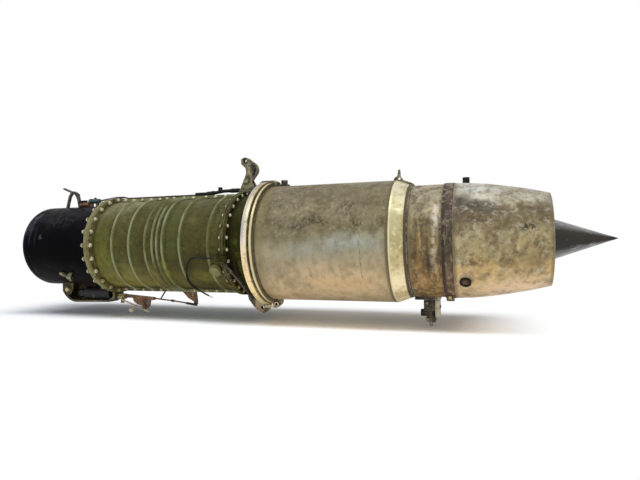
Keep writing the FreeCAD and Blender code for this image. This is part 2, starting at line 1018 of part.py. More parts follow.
def turbine_section():
    """Turbine casing, its vane ring, the clamp ring behind it and the turbine wheel."""
    turned_part(
        "turbine_casing",
        [
            ("cone_band_end", "turbine_casing_bore"),
            ("cone_band_end", "turbine_casing_radius"),
            ("clamp_start", "turbine_casing_radius"),
            ("clamp_start", "clamp_seat"),
            ("turbine_casing_end", "clamp_seat"),
            ("turbine_casing_end", "turbine_casing_bore"),
        ],
    )
    turned_part(
        "clamp_ring",
        [
            ("clamp_start", "clamp_seat"),
            ("clamp_start", "clamp_radius"),
            ("clamp_end", "clamp_radius"),
            ("clamp_end", "clamp_seat"),
        ],
    )
    band = new_body("nozzle_vane_band")
    turn_profile(
        band,
        [
            ("nozzle_vane_station - inner_band_half", "inner_band_radius"),
            ("nozzle_vane_station + inner_band_half", "inner_band_radius"),
            ("nozzle_vane_station + inner_band_half", "inner_band_radius - band_wall"),
            ("tunnel_end", "inner_band_radius - band_wall"),
            ("tunnel_end", "tunnel_radius"),
            ("nozzle_vane_station - inner_band_half", "tunnel_radius"),
        ],
    )
    vanes = blade_row(
        "nozzle_vanes",
        "nozzle_vane_station",
        "inner_band_radius - 3",
        "turbine_casing_bore + 1.5 - inner_band_radius + 3",
        aerofoil("nozzle_vane_chord", "nozzle_vane_camber"),
        "nozzle_vane_stagger",
        "nozzle_vane_count",
    )
    keep(fused("turbine_nozzle_ring", [band, vanes]))
    turned_part(
        "turbine_disc",
        [
            ("turbine_station - disc_hub_half", "0"),
            ("turbine_station - disc_hub_half", "disc_hub_radius"),
            ("turbine_station - disc_half", "disc_hub_radius"),
            ("turbine_station - disc_half", "disc_radius"),
            ("turbine_station + disc_half", "disc_radius"),
            ("turbine_station + disc_half", "disc_hub_radius"),
            ("turbine_station + disc_hub_half", "disc_hub_radius"),
            ("turbine_station + disc_hub_half", "0"),
        ],
    )
    blades = blade_row(
        "turbine_blades",
        "turbine_station",
        "disc_radius - blade_root_depth",
        "turbine_tip - disc_radius + blade_root_depth",
        aerofoil("turbine_blade_chord", "turbine_blade_camber"),
        "turbine_blade_stagger",
        "turbine_blade_count",
    )
    keep(blades)
    turned_part(
        "turbine_shaft",
        [
            ("rotor_end", "shaft_bore"),
            ("rotor_end", "shaft_radius"),
            ("turbine_station - disc_hub_half", "shaft_radius"),
            ("turbine_station - disc_hub_half", "shaft_bore"),
        ],
    )


def bearing(label, station, shaft, outer):
    """Outer race of a shaft bearing, a running fit round its journal."""
    turned_part(
        label,
        [
            (station, f"{shaft} + running_gap"),
            (station, outer),
            (f"{station} + bearing_width", outer),
            (f"{station} + bearing_width", f"{shaft} + running_gap"),
        ],
    )


# ------------------------------------------------------------ exhaust end


def jet_nozzle():
    """Spun barrel-shaped nozzle with a thin rim."""
    turned_part(
        "jet_nozzle",
        [
            ("turbine_casing_end", "turbine_casing_bore"),
            ("turbine_casing_end", "clamp_seat"),
            ("nozzle_start", "clamp_seat"),
            ("nozzle_start", "nozzle_front_radius"),
            ("nozzle_shoulder", "nozzle_shoulder_radius"),
            ("arc", "nozzle_barrel_radius", -1),
            ("nozzle_end", "nozzle_end_radius"),
            ("nozzle_end", "nozzle_end_radius - nozzle_wall"),
            ("nozzle_start + nozzle_wall", "nozzle_shoulder_radius - nozzle_wall"),
            ("nozzle_start + nozzle_wall", "turbine_casing_bore"),
        ],
    )


def tail_cone():
    """Closed inner cone, straight from its shoulder to the point."""
    turned_part(
        "tail_cone",
        [
            ("cone_start", "0"),
            ("cone_start", "cone_radius"),
            ("cone_shoulder", "cone_radius"),
            ("cone_tip", "0"),
        ],
    )


PORT_ANGLES = (TOP, -42, 222)


def cone_struts_and_ports():
    """Rods that hold the inner cone, and the round ports where they meet the nozzle."""
    station = value("cone_strut_station")
    rods = []
    rings = []
    for number, angle in enumerate(PORT_ANGLES, start=1):
        inside = around(station, angle, value("cone_radius - 2"))
        reach = "nozzle_shoulder_radius - nozzle_wall - cone_radius + 3"
        rods.append(peg(f"cone_strut_{number}", "cone_strut_radius", reach, inside))
        outside = around(station, angle, value("nozzle_shoulder_radius - 1"))
        if angle == TOP:
            rings.append(peg("top_stub", "stub_radius", "stub_height", outside))
            continue
        ring = peg(f"port_{number}_ring", "port_radius", "port_height", outside)
        hole = peg(
            f"port_{number}_hole",
            "port_hole",
            "port_height",
            around(station, angle, value("nozzle_shoulder_radius + 4")),
        )
        rings.append(cut(f"port_{number}", ring, hole))
    seated("cone_struts", compound("cone_strut_rods", rods), [part("tail_cone"), part("jet_nozzle")])
    seated("nozzle_ports", compound("nozzle_port_rings", rings), [part("jet_nozzle")])


# ------------------------------------------------------------ outside fittings


def upper_mount():
    """Forked bracket on the diffuser's top, its pin, and the lug that hangs the engine."""
    pin_hole = ("mount_pin_station", "mount_pin_height", "mount_pin_radius")
    ear_outline = measured_from(
        "mount_pin_station",
        "mount_pin_height",
        [
            (-33, -63),
            (33, -63),
            (29, -24),
            (15, 0),
            ("arc", "mount_ear_round", 1),
            (-15, 0),
            (-27, -26),
        ],
    )
    ear_middle = value("mount_gap / 2 + mount_ear_thickness / 2")
    ears = []
    for number, side in ((1, -1), (2, 1)):
        name = f"upper_mount_ear_{number}"
        middle = side * ear_middle
        ears.append(upright(name, ear_outline, "mount_ear_thickness", middle, [pin_hole]))
    station = value("mount_pin_station")
    foot = block(
        "upper_mount_foot",
        "mount_foot_length",
        "mount_foot_width",
        "mount_foot_height",
        Placement(Vector(station, 0, value("mount_foot_bottom")), Rotation()),
    )
    seated(
        "upper_mount_bracket",
        fused("upper_mount_fork", ears + [foot]),
        [
            part("diffuser_casing"),
            part("compressor_casing_near"),
            part("compressor_casing_far"),
            part("rear_flange_bolts"),
        ],
    )
    link_outline = measured_from(
        "mount_pin_station",
        "mount_pin_height",
        [
            (-17, 2),
            ("arc", "link_heel_round", 1),
            (18, 2),
            (41, 32),
            ("arc", "link_knee_round", 1),
            (31, 68),
            (7, 86),
            ("arc", "link_head_round", 1),
            (-31, 86),
            (-29, 68),
            (-11, 52),
            (-7, 34),
        ],
    )
    eye = ("mount_eye_station", "mount_eye_height", "mount_eye_radius")
    keep(upright("upper_mount_link", link_outline, "mount_gap - 1", 0, [pin_hole, eye]))
    reach = value("mount_gap / 2 + mount_ear_thickness")
    shank = peg(
        "upper_mount_shank",
        "mount_pin_radius - running_gap",
        "mount_gap + mount_ear_thickness * 2",
        Placement(
            Vector(station, reach, value("mount_pin_height")), Rotation(Vector(1, 0, 0), 90)
        ),
    )
    nut_outline = hexagon("mount_pin_station", "mount_pin_height", "mount_nut_corner")
    nut_middle = reach + value("mount_nut_height / 2")
    nuts = []
    for number, side in ((1, -1), (2, 1)):
        name = f"upper_mount_nut_{number}"
        nuts.append(upright(name, nut_outline, "mount_nut_height", side * nut_middle))
    keep(fused("upper_mount_pin", [shank] + nuts))


def ring_saddle():
    """Strap that bridges the mounting ring from the diffuser to the burner casing."""
    outline = measured_from(
        "ring_end",
        "ring_radius",
        [
            (-46, -46),
            (-36, -46),
            (-36, -3),
            (19, -3),
            (19, -21.5),
            (27, -21.5),
            (26, -1),
            (18, 5),
            (-34, 5),
            (-44, -1),
        ],
    )
    strap = upright("ring_saddle_strap", outline, "saddle_width", 0)
    carriers = [part("diffuser_casing"), part("mounting_ring"), part("burner_casing")]
    seated("ring_saddle", strap, carriers)


def igniter():
    """Igniter plug on its square boss."""
    place = around(value("igniter_station"), TOP, value("burner_radius - 2"))
    boss = block(
        "igniter_boss", "igniter_base_width", "igniter_base_width", "igniter_base_height", place
    )
    barrel = peg("igniter_barrel", "igniter_radius", "igniter_height", place)
    seated("igniter", fused("igniter_body", [boss, barrel]), [part("burner_casing")])


def rear_top_bracket():
    """Pointed bracket at the burner's rear joint, its foot lying down the conical band."""
    spike = upright(
        "rear_bracket_spike",
        measured_from(
            "rear_bracket_station",
            "rear_bracket_eye",
            [
                (-21, -8.5),
                (-3, -8.5),
                (17, -16),
                (14, -3),
                (5, 7),
                (3, 33),
                (-3, 33),
                (-7, 11),
                (-19, 1),
            ],
        ),
        "rear_bracket_thickness",
        0,
        [("rear_bracket_station", "rear_bracket_eye", "rear_bracket_hole")],
    )
    foot = upright(
        "rear_bracket_foot",
        measured_from(
            "cone_band_end",
            "cone_band_end_radius",
            [(-54, 16), (-2, -2), (-2, 7), (-36, 20), (-54, 20.5)],
        ),
        "rear_bracket_foot_width",
        0,
    )
    carriers = [part("burner_casing"), part("conical_band")]
    seated("rear_top_bracket", fused("rear_bracket_body", [spike, foot]), carriers)


def lower_mount():
    """Pair of lugs under the diffuser and the mounting ring."""
    middle = -value("lower_mount_side")
    lug = upright(
        "lower_lug_plate",
        measured_from(
            "lower_eye_station",
            "0 - lower_eye_depth",
            [
                (-63, 68),
                (14, 60),
                (14, 16),
                (30, 14.5),
                (32, 2),
                (16, -16),
                ("arc", "lower_lug_round", -1),
                (-14, -18),
                (-38, 4),
                (-60, 32),
            ],
        ),
        "lower_lug_thickness",
        middle,
        [("lower_eye_station", "0 - lower_eye_depth", "lower_eye_radius")],
    )
    seated("lower_mount_lug", lug, [part("diffuser_casing"), part("mounting_ring")])
    ear = upright(
        "lower_ear_plate",
        measured_from(
            "lower_ear_station",
            "0 - lower_ear_depth",
            [
                (-5, 20.7),
                (24, 20.7),
                (20, 2),
                (2, -12),
                ("arc", "lower_ear_round", -1),
                (-14, -10),
                (-14, 8.5),
                (-5, 8.5),
            ],
        ),
        "lower_lug_thickness",
        middle,
        [("lower_ear_station", "0 - lower_ear_depth", "lower_ear_hole")],
    )
    seated("lower_mount_ear", ear, [part("burner_casing"), part("mounting_ring")])


def rear_mount():
    """Stepped fitting that hangs below the turbine casing, with its locating spigot."""
    down = Rotation(Vector(1, 0, 0), 180)
    depth = value("rear_foot_depth")
    trunk_top = depth + value("rear_foot_height") - 4
    foot = block(
        "rear_mount_foot",
        "rear_foot_length",
        "rear_foot_width",
        "rear_foot_height",
        Placement(Vector(1735, 0, -depth), down),
    )
    trunk = block(
        "rear_mount_trunk",
        "rear_trunk_length",
        "rear_trunk_width",
        "rear_trunk_height",
        Placement(Vector(1746, 0, -trunk_top), down),
    )
    cheek = block(
        "rear_mount_cheek",
        "rear_cheek_length",
        "rear_cheek_width",
        "rear_cheek_height",
        Placement(Vector(1769, 0, -trunk_top - 6), down),
    )
    cross = bar_along("rear_mount_cross", "rear_cross_radius", (1709, 0, -258), (1766, 0, -258))
    stem = bar_along("rear_mount_stem", "rear_stem_radius", (1746, 0, -246), (1746, 0, -293))
    tip = bar_along("rear_mount_tip", "rear_tip_radius", (1744, 0, -290), (1744, 0, -306))
    pieces = [foot, trunk, cheek, cross, stem, tip]
    seated("rear_mount_fitting", fused("rear_mount_body", pieces), [part("turbine_casing")])


BREATHER_ROUTE = [
    (279, 0, 200),
    (330, 0, 206),
    (372, 0, 211),
    (412, 0, 211),
    (440, 0, 204.6),
    (780, 0, 204.6),
]
HOSE_ROUTE = [(780, 0, 208.1), (850, 0, 208.1), (915, 0, 216), (993, 0, 216)]


def drum_top_fittings():
    """Bent strap on the drum's top, breather stub and union, and the pipe from them."""
    strap = upright(
        "drum_top_strap_plate",
        measured_from(
            "top_strap_front",
            "drum_radius",
            [
                (0, 86),
                (43, 68),
                (32, 51),
                (17, -1),
                (24, -1),
                (38, 47),
                (51, 64),
                (70, 56),
                (80, 37),
                (88, -1),
                (95, -1),
                (89, 40),
                (84, 62),
                (64, 74),
                (46, 75),
                (2, 92),
            ],
        ),
        "top_strap_width",
        0,
    )
    seated("drum_top_strap", strap, [part("intake_drum")])
    stub = bar_along("breather_stub_bar", "breather_stub_radius", (178, 0, 184), (226, 0, 186))
    seated("breather_stub", stub, [part("intake_drum")])
    union = new_body("breather_union")
    pad_outline(
        union,
        "nut",
        "YZ_Plane",
        hexagon("0", "breather_height", "breather_union_corner"),
        "breather_union_length",
        offset=Placement(Vector(0, 0, value("breather_union_front")), Rotation()),
    )
    keep(union)
    pipe = tube("breather_run", BREATHER_ROUTE, "breather_pipe_radius", 20)
    seated("breather_pipe", pipe, [union])
    keep(tube("top_hose", HOSE_ROUTE, "top_hose_radius", 60))
    knob = bar_along("hose_clamp_knob", "hose_clamp_radius", (896, 0, 214), (896, 0, 232))
    seated("hose_clamp", knob, [part("top_hose")])


def drum_side_clip():
    """Small forked lever on the drum's near side."""
    body = new_body("drum_clip_fork")
    pad_outline(
        body,
        "fork",
        "XY_Plane",
        [
            ("0 - 32", "12"),
            ("0 - 27", "22"),
            ("0", "6"),
            ("27", "20"),
            ("33", "12"),
            ("9", "0 - 8"),
            ("6", "0 - 30"),
            ("0 - 8", "0 - 32"),
            ("0 - 9", "0 - 6"),
        ],
        "drum_clip_thickness",
        offset=Placement(Vector(0, 0, -8), Rotation()),
    )
    body.Placement = around(217, -46, value("drum_radius + 2"))
    seated("drum_clip", body, [part("intake_drum")])


def pump_and_cradle():
    """Pump in the open tray that hangs under the front flange."""
    front = "cradle_front"
    floor = "0 - cradle_depth"
    side = value("cradle_side")
    near_face = side + value("cradle_width / 2")
    wall = upright(
        "pump_cradle_wall",
        measured_from(
            front,
            floor,
            [
                (0, 92),
                (0, 50),
                ("arc", "cradle_round", 1),
                (74, 0),
                (254, 4),
                (286, 22),
                (286, 60),
                (268, 60),
                (268, 92),
            ],
        ),
        "cradle_wall",
        near_face - 2 * side - value("cradle_wall / 2"),
    )
    tray = upright(
        "pump_cradle_tray",
        measured_from(
            front,
            floor,
            [
                (0, 92),
                (0, 50),
                ("arc", "cradle_round", 1),
                (74, 0),
                (254, 4),
                (286, 22),
                (286, 48),
                (276, 48),
                (276, 26),
                (250, 12),
                (76, 8),
                ("arc", "cradle_inner_round", -1),
                (8, 52),
                (8, 92),
            ],
        ),
        "cradle_width",
        -side,
    )
    tab = upright(
        "pump_cradle_tab",
        measured_from(
            front, floor, [(2, 92), (2, 52), (22, 28), (44, 36), (58, 60), (58, 92)]
        ),
        "cradle_wall",
        value("cradle_wall / 2") - near_face,
    )
    seated(
        "pump_cradle",
        fused("pump_cradle_body", [wall, tray, tab]),
        [
            part("intake_drum"),
            part("front_frame"),
            part("compressor_casing_near"),
            part("compressor_casing_far"),
        ],
    )
    barrel = bar_along("pump_barrel", "pump_radius", (234, -24, -212), (368, -24, -212))
    neck = bar_along("pump_neck", "pump_neck_radius", (196, -24, -212), (240, -24, -212))
    port = bar_along("pump_port", "pump_port_radius", (216, -24, -212), (216, -46, -212))
    pump = fused("pump_body", [barrel, neck, port])
    seated("fuel_pump", pump, [part("intake_drum"), part("pump_cradle")])
    start = (150, -near_face, -196)
    end = (150, -near_face - 15, -196)
    keep(bar_along("cradle_knob", "cradle_knob_radius", start, end))


DRAIN_ROUTE = [
    (580, -14, -231),
    (620, -14, -235),
    (669, -14, -239),
    (720, -14, -245),
    (764, -14, -251),
]


def rods_behind_the_cradle():
    """Drain union, link bar with its knuckle, control rod, and the drain pipe's remains."""
    union = new_body("drain_union_nut")
    pad_outline(
        union,
        "nut",
        "YZ_Plane",
        hexagon("0 - 22", "0 - 224", "drain_union_corner"),
        "drain_union_length",
        offset=Placement(Vector(0, 0, 398), Rotation()),
    )
    cap = bar_along("drain_union_cap", "drain_cap_radius", (418, -22, -230), (418, -22, -253))
    keep(fused("drain_union", [union, cap]))
    bar = upright(
        "link_bar_plate",
        [
            ("436", "0 - 215"),
            ("583", "0 - 225"),
            ("583", "0 - 237"),
            ("562", "0 - 238"),
            ("556", "0 - 266"),
            ("540", "0 - 276"),
            ("526", "0 - 262"),
            ("500", "0 - 256"),
            ("482", "0 - 244"),
            ("478", "0 - 230"),
            ("436", "0 - 228"),
        ],
        "link_bar_thickness",
        -22,
    )
    pin = bar_along("link_bar_pin", "link_pin_radius", (540, -8, -264), (540, -38, -264))
    keep(fused("link_bar", [bar, pin]))
    rod = bar_along("control_rod_bar", "control_rod_radius", (421, -32, -237), (560, -32, -286))
    stem = bar_along("control_rod_stem", "ball_stem_radius", (471, -32, -255), (471, -32, -275))
    ball = doc.addObject("Part::Sphere", "control_rod_ball")
    bind(ball, "Radius", "ball_radius")
    ball.Placement = Placement(Vector(471, -32, -281), Rotation())
    rod_pieces = fused("control_rod_body", [rod, stem, ball])
    seated("control_rod", rod_pieces, [part("drain_union"), part("link_bar")])
    bracket = upright(
        "drain_bracket_plate",
        [
            ("713", "0 - 199"),
            ("779", "0 - 199"),
            ("784", "0 - 231"),
            ("785", "0 - 252"),
            ("770", "0 - 252"),
            ("768", "0 - 241"),
            ("742", "0 - 227"),
        ],
        "drain_bracket_thickness",
        -5,
    )
    halves = [part("compressor_casing_near"), part("compressor_casing_far")]
    seated("drain_bracket", bracket, halves)
    run = tube("drain_run", DRAIN_ROUTE, "drain_pipe_radius", 40)
    joint = bar_along("drain_joint", "drain_joint_radius", (663, -14, -238.6), (675, -14, -239.7))
    sleeve = bar_along("drain_sleeve", "drain_joint_radius", (736, -14, -247.5), (786, -14, -254))
    strut = bar_along("drain_strut", "drain_strut_radius", (628, -5, -198), (607, -13, -234))
    pipe = fused("drain_pipe_body", [run, joint, sleeve, strut])
    seated("drain_pipe", pipe, halves + [part("link_bar"), part("drain_bracket")])


# The cut ignition lead: out of its clamp, forward, down in a loop, and free at its end.
LEAD_ROUTE = [
    (984, -197, -54),
    (932, -197, -54),
    (876, -199, -50),
    (845, -183, -93),
    (836, -157, -143),
    (868, -138, -178),
    (908, -121, -202),
]
SIDE_PIPE_ROUTE = [
    (1016, -205, -63),
    (1036, -195, -92),
    (1056, -172, -128),
    (1069, -136, -166),
    (1066, -88, -194),
    (1051, -46, -207),
]


def side_fittings():
    """Capped bleed port, clamp on the rear flange, the cut lead and the pipe from it."""
    base = peg("bleed_cap_base", "bleed_cap_radius", "bleed_cap_height", around(963, -32, 184))
    crown = peg("bleed_cap_top", "bleed_cap_crown", "bleed_cap_height", around(963, -32, 188))
    seated("bleed_cap", fused("bleed_cap_body", [base, crown]), [part("compressor_casing_near")])
    clamp = upright(
        "lead_clamp_body",
        [
            ("984", "185"),
            ("984", "216"),
            ("990", "222"),
            ("1026", "222"),
            ("1031", "216"),
            ("1031", "206"),
            ("1003", "206"),
            ("1003", "185"),
        ],
        "lead_clamp_width",
        0,
    )
    clamp.Placement = around(0, -15.33, 0)
    seated(
        "lead_clamp",
        clamp,
        [part("compressor_casing_near"), part("rear_flange_bolts"), part("diffuser_casing")],
    )
    keep(tube("igniter_lead", LEAD_ROUTE, "lead_radius"))
    run = tube("side_pipe_run", SIDE_PIPE_ROUTE, "side_pipe_radius", 60)
    nut = bar_along("side_pipe_nut", "side_pipe_nut_radius", (1048, -28, -208), (1050, -50, -207))
    pipe = fused("side_pipe_body", [run, nut])
    seated("side_pipe", pipe, [part("lead_clamp"), part("lower_mount_lug")])


intake_drum()
front_frame()
nose_cone()
casing_half("compressor_casing_near", 0)
casing_half("compressor_casing_far", 180)
compressor_rotor()
stator_vanes("stator_vanes_near", 0)
stator_vanes("stator_vanes_far", 180)
flange_bolts()
split_line_bolts()
diffuser_casing()
burner_section()
fuel_ring()
turbine_section()
bearing("front_bearing", "front_bearing_station", "journal_radius", "front_bearing_outer")
bearing("rear_bearing", "rear_bearing_station", "shaft_radius", "tunnel_radius - tunnel_wall")
jet_nozzle()
tail_cone()
cone_struts_and_ports()
doc.recompute()
upper_mount()
ring_saddle()
igniter()
rear_top_bracket()
lower_mount()
rear_mount()
drum_top_fittings()
drum_side_clip()
pump_and_cradle()
rods_behind_the_cradle()
side_fittings()

doc.recompute()
os.makedirs("parts", exist_ok=True)
for item in exported:
    faults = [state for state in item.State if state in ("Invalid", "Error")]
    shape = item.Shape
    if faults or shape.isNull() or not shape.isValid():
        raise RuntimeError(f"{item.Label} did not build")
    shape.exportStep(f"parts/{item.Label}.step")
print(f"{len(exported)} sub-parts written")
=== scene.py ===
# %% [markdown]
# # A jet engine, dressed
#
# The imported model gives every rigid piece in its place: drum, casings, rings, nozzle,
# blades and fittings. This script gives them their looks. It keeps the pieces where they
# are, paints each one with a procedural material, and adds what is too small to be
# worth a solid: nuts with their washers, spot welds, sleeves, clips and bolt heads.
#
# The engine axis is X, from the intake mouth (0) to the exhaust. Z is up, and the side
# that the photograph shows is the -Y side. Everything is in metres.

# %% Load the frame
import math

import bmesh
import bpy
from mathutils import Matrix, Vector


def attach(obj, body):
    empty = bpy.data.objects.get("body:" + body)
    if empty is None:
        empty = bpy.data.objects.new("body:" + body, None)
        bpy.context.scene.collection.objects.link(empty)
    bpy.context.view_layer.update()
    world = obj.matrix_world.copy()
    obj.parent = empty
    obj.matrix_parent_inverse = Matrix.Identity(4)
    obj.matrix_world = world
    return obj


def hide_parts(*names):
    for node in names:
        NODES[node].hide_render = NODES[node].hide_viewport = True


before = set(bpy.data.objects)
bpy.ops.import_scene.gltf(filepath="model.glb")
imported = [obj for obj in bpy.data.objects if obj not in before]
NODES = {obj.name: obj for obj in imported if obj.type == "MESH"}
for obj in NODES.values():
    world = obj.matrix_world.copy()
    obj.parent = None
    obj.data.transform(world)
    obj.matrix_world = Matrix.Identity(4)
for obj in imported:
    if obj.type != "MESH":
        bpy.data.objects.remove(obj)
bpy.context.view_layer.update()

print("frame loaded:", len(NODES), "nodes")


def into_scene(name, data):
    """Object of the given data, linked to the scene."""
    thing = bpy.data.objects.new(name, data)
    bpy.context.scene.collection.objects.link(thing)
    return thing


def plain_mesh(thing):
    """Mesh of an object with its curve or modifiers worked out."""
    ready = thing.evaluated_get(bpy.context.evaluated_depsgraph_get())
    return bpy.data.meshes.new_from_object(ready)


# %% [markdown]
# ## Camera
#
# The viewpoint was found by fitting the engine's round stations to their ellipses in the
# photograph. A camera can be aimed by a target, but a fitted one is better stated by
# what the fit gave: place, yaw, pitch and roll. The two axes of the picture are built
# from those angles and become the columns of the camera's matrix.

# %% Camera
CAMERA_PLACE = Vector((1.9536, -1.8653, 0.0016))
CAMERA_YAW = math.radians(18.58)
CAMERA_PITCH = math.radians(0.21)
CAMERA_ROLL = math.radians(-0.80)
CAMERA_LENS = 28.69

forward = Vector(
    (
        -math.sin(CAMERA_YAW) * math.cos(CAMERA_PITCH),
        math.cos(CAMERA_YAW) * math.cos(CAMERA_PITCH),
        math.sin(CAMERA_PITCH),
    )
)
level = Vector((math.cos(CAMERA_YAW), math.sin(CAMERA_YAW), 0))
upward = level.cross(forward)
across = level * math.cos(CAMERA_ROLL) + upward * math.sin(CAMERA_ROLL)
upward = upward * math.cos(CAMERA_ROLL) - level * math.sin(CAMERA_ROLL)

camera_data = bpy.data.cameras.new("camera")
camera_data.lens = CAMERA_LENS
camera = into_scene("camera", camera_data)
turned = Matrix((across, upward, -forward)).transposed().to_4x4()
camera.matrix_world = Matrix.Translation(CAMERA_PLACE) @ turned
bpy.context.scene.camera = camera
bpy.context.scene.view_settings.view_transform = "Standard"
print("camera at", tuple(round(v, 3) for v in CAMERA_PLACE))

# %% [markdown]
# ## The igniter's lead
#
# A black lead leaves a clamp on the rear flange, loops forward over the casing, runs
# back down and ends bare under it. A lead is a fixed length of something springy, so its
# line has to be smooth: a NURBS curve with a few control points gives that by itself,
# where a chain of straight runs would look like bent wire. The curve's bevel gives it
# its thickness.

# %% Lead
LEAD_ROUTE = [
    (0.984, -0.197, -0.054),
    (0.932, -0.197, -0.054),
    (0.876, -0.199, -0.050),
    (0.845, -0.183, -0.093),
    (0.836, -0.157, -0.143),
    (0.868, -0.138, -0.178),
    (0.908, -0.121, -0.202),
]
LEAD_DIAMETER = 0.006


def smooth_line(name, route, radius):
    """Curve object with the route's points as the control points of one NURBS spline."""
    data = bpy.data.curves.new(name, "CURVE")
    data.dimensions = "3D"
    spline = data.splines.new("NURBS")
    spline.points.add(len(route) - 1)
    for point, place in zip(spline.points, route):
        point.co = (*place, 1.0)
    spline.order_u = 3
    spline.use_endpoint_u = True
    spline.resolution_u = 16
    data.bevel_depth = radius
    data.bevel_resolution = 4
    data.use_fill_caps = True
    return into_scene(name, data)


lead = smooth_line("igniter_lead_cord", LEAD_ROUTE, LEAD_DIAMETER / 2)

# %% [markdown]
# Two things sit on the lead: a thicker sleeve over its lower run, and the bare core that
# shows at its end. Both follow the lead's own line, so its points are read from the
# spline: a curve without a bevel, turned into a mesh, is just that line.

# %% Points along the lead
def line_points(route):
    """Places along the route's own spline."""
    bare = smooth_line("bare_line", route, 0.0)
    mesh = plain_mesh(bare)
    places = [vertex.co.copy() for vertex in mesh.vertices]
    bpy.data.meshes.remove(mesh)
    bpy.data.objects.remove(bare)
    return places


lead_points = line_points(LEAD_ROUTE)
lead_run = sum((b - a).length for a, b in zip(lead_points, lead_points[1:]))
print("lead:", len(lead_points), "points,", round(lead_run, 3), "m")

# %% [markdown]
# ## Small helpers for node trees
#
# Every material and every repeated piece below is a node tree. `add` makes one node and
# fills its inputs, either with a plain value or with the output of another node, so a
# tree reads from top to bottom like a recipe. The other helpers are short names for the
# nodes that come back most often.

# %% Node helpers
FLOAT, VECTOR, COUNT = "NodeSocketFloat", "NodeSocketVector", "NodeSocketInt"
GEOMETRY, MATERIAL = "NodeSocketGeometry", "NodeSocketMaterial"


def fill(tree, node, inputs):
    """The node, with its sockets filled by values or by other nodes' outputs."""
    for key, item in (inputs or {}).items():
        if isinstance(item, bpy.types.NodeSocket):
            tree.links.new(item, node.inputs[key])
        else:
            node.inputs[key].default_value = item
    return node


def add(tree, kind, inputs=None, **settings):
    """Outputs of one new node. inputs maps a socket's name or number to its filling."""
    node = tree.nodes.new(kind)
    for name, setting in settings.items():
        setattr(node, name, setting)
    return fill(tree, node, inputs).outputs


def calc(tree, operation, first, second=0.0, clamp=False):
    """Result of one Math node."""
    sockets = {0: first, 1: second}
    return add(tree, "ShaderNodeMath", sockets, operation=operation, use_clamp=clamp)[0]


def times(tree, first, second):
    """Product of two numbers."""
    return calc(tree, "MULTIPLY", first, second)


def plus(tree, first, second):
    """Sum of two numbers."""
    return calc(tree, "ADD", first, second)


def minus(tree, first, second):
    """Difference of two numbers."""
    return calc(tree, "SUBTRACT", first, second)


def vector_calc(tree, operation, first, second=(0.0, 0.0, 0.0)):
    """Outputs of one Vector Math node."""
    return add(tree, "ShaderNodeVectorMath", {0: first, 1: second}, operation=operation)


def span(tree, item, low, high, start=0.0, end=1.0):
    """item, brought smoothly from low..high to start..end."""
    sockets = {0: item, 1: low, 2: high, 3: start, 4: end}
    return add(tree, "ShaderNodeMapRange", sockets, interpolation_type="SMOOTHSTEP")[0]


def noise(tree, place, scale, detail, rough=0.5):
    """Outputs of one Noise Texture."""
    sockets = {"Vector": place, "Scale": scale, "Detail": detail, "Roughness": rough}
    return add(tree, "ShaderNodeTexNoise", sockets)


def object_place(tree):
    """The object's own coordinates."""
    return add(tree, "ShaderNodeTexCoord")["Object"]


def split(tree, vector):
    """The three numbers of a vector, by their letters."""
    return add(tree, "ShaderNodeSeparateXYZ", {0: vector})


def joined(tree, **parts):
    """Vector from the numbers given for X, Y and Z."""
    return add(tree, "ShaderNodeCombineXYZ", parts)[0]


def rgb(colour):
    """A screen colour of 0..255, as the linear colour that a shader wants."""
    line = []
    for part in colour:
        part = part / 255
        line.append(part / 12.92 if part <= 0.04045 else ((part + 0.055) / 1.055) ** 2.4)
    return (*line, 1.0)


def blend_colour(tree, factor, first, second):
    """Result of one colour Mix node."""
    return add(tree, "ShaderNodeMix", {0: factor, 6: first, 7: second}, data_type="RGBA")[2]


def blend_shader(tree, factor, first, second):
    """Result of one Mix Shader node."""
    return add(tree, "ShaderNodeMixShader", {0: factor, 1: first, 2: second})[0]


def new_group(name, kind, inputs, output):
    """Empty node group with named sockets. An input is (name, type, default)."""
    group = bpy.data.node_groups.new(name, kind)
    for label, socket, default in inputs:
        made = group.interface.new_socket(label, in_out="INPUT", socket_type=socket)
        if default is not None:
            made.default_value = default
    group.interface.new_socket(output[0], in_out="OUTPUT", socket_type=output[1])
    source = group.nodes.new("NodeGroupInput")
    target = group.nodes.new("NodeGroupOutput")

    def give(result):
        group.links.new(result, target.inputs[output[0]])
        return group

    return group, source.outputs, give


def use_group(tree, group, inputs=None):
    """Outputs of the group, placed in a tree of its own kind."""
    geometry = tree.bl_idname == "GeometryNodeTree"
    node = tree.nodes.new("GeometryNodeGroup" if geometry else "ShaderNodeGroup")
    node.node_tree = group
    return fill(tree, node, inputs).outputs


# %% [markdown]
# ## Studio
#
# The photograph is a plain studio picture: white ground, and a soft shadow that lies just
# under and behind the engine, so the main light stands high and a little in front. A
# second, weaker light from the viewer's side fills the flank. The ground shows white only
# to the camera, through glass and in mirrors, so it doesn't add light to the engine.

# %% World
MIDDLE = Vector((1.17, 0.0, 0.0))
WHITE = (1.0, 1.0, 1.0, 1.0)
AMBIENT = 0.18


def shows_white(tree):
    """1 where the white ground may show: to the camera, through glass and in mirrors."""
    path = add(tree, "ShaderNodeLightPath")
    shows = calc(tree, "MAXIMUM", path["Is Camera Ray"], path["Is Transmission Ray"])
    return calc(tree, "MAXIMUM", shows, path["Is Glossy Ray"])


world = bpy.data.worlds.new("studio")
bpy.context.scene.world = world
world.use_nodes = True
tree = world.node_tree
tree.nodes.clear()
ambient = add(tree, "ShaderNodeBackground", {"Color": WHITE, "Strength": AMBIENT})[0]
ground = add(tree, "ShaderNodeBackground", {"Color": WHITE, "Strength": 1.0})[0]
mixed = blend_shader(tree, shows_white(tree), ambient, ground)
add(tree, "ShaderNodeOutputWorld", {"Surface": mixed})

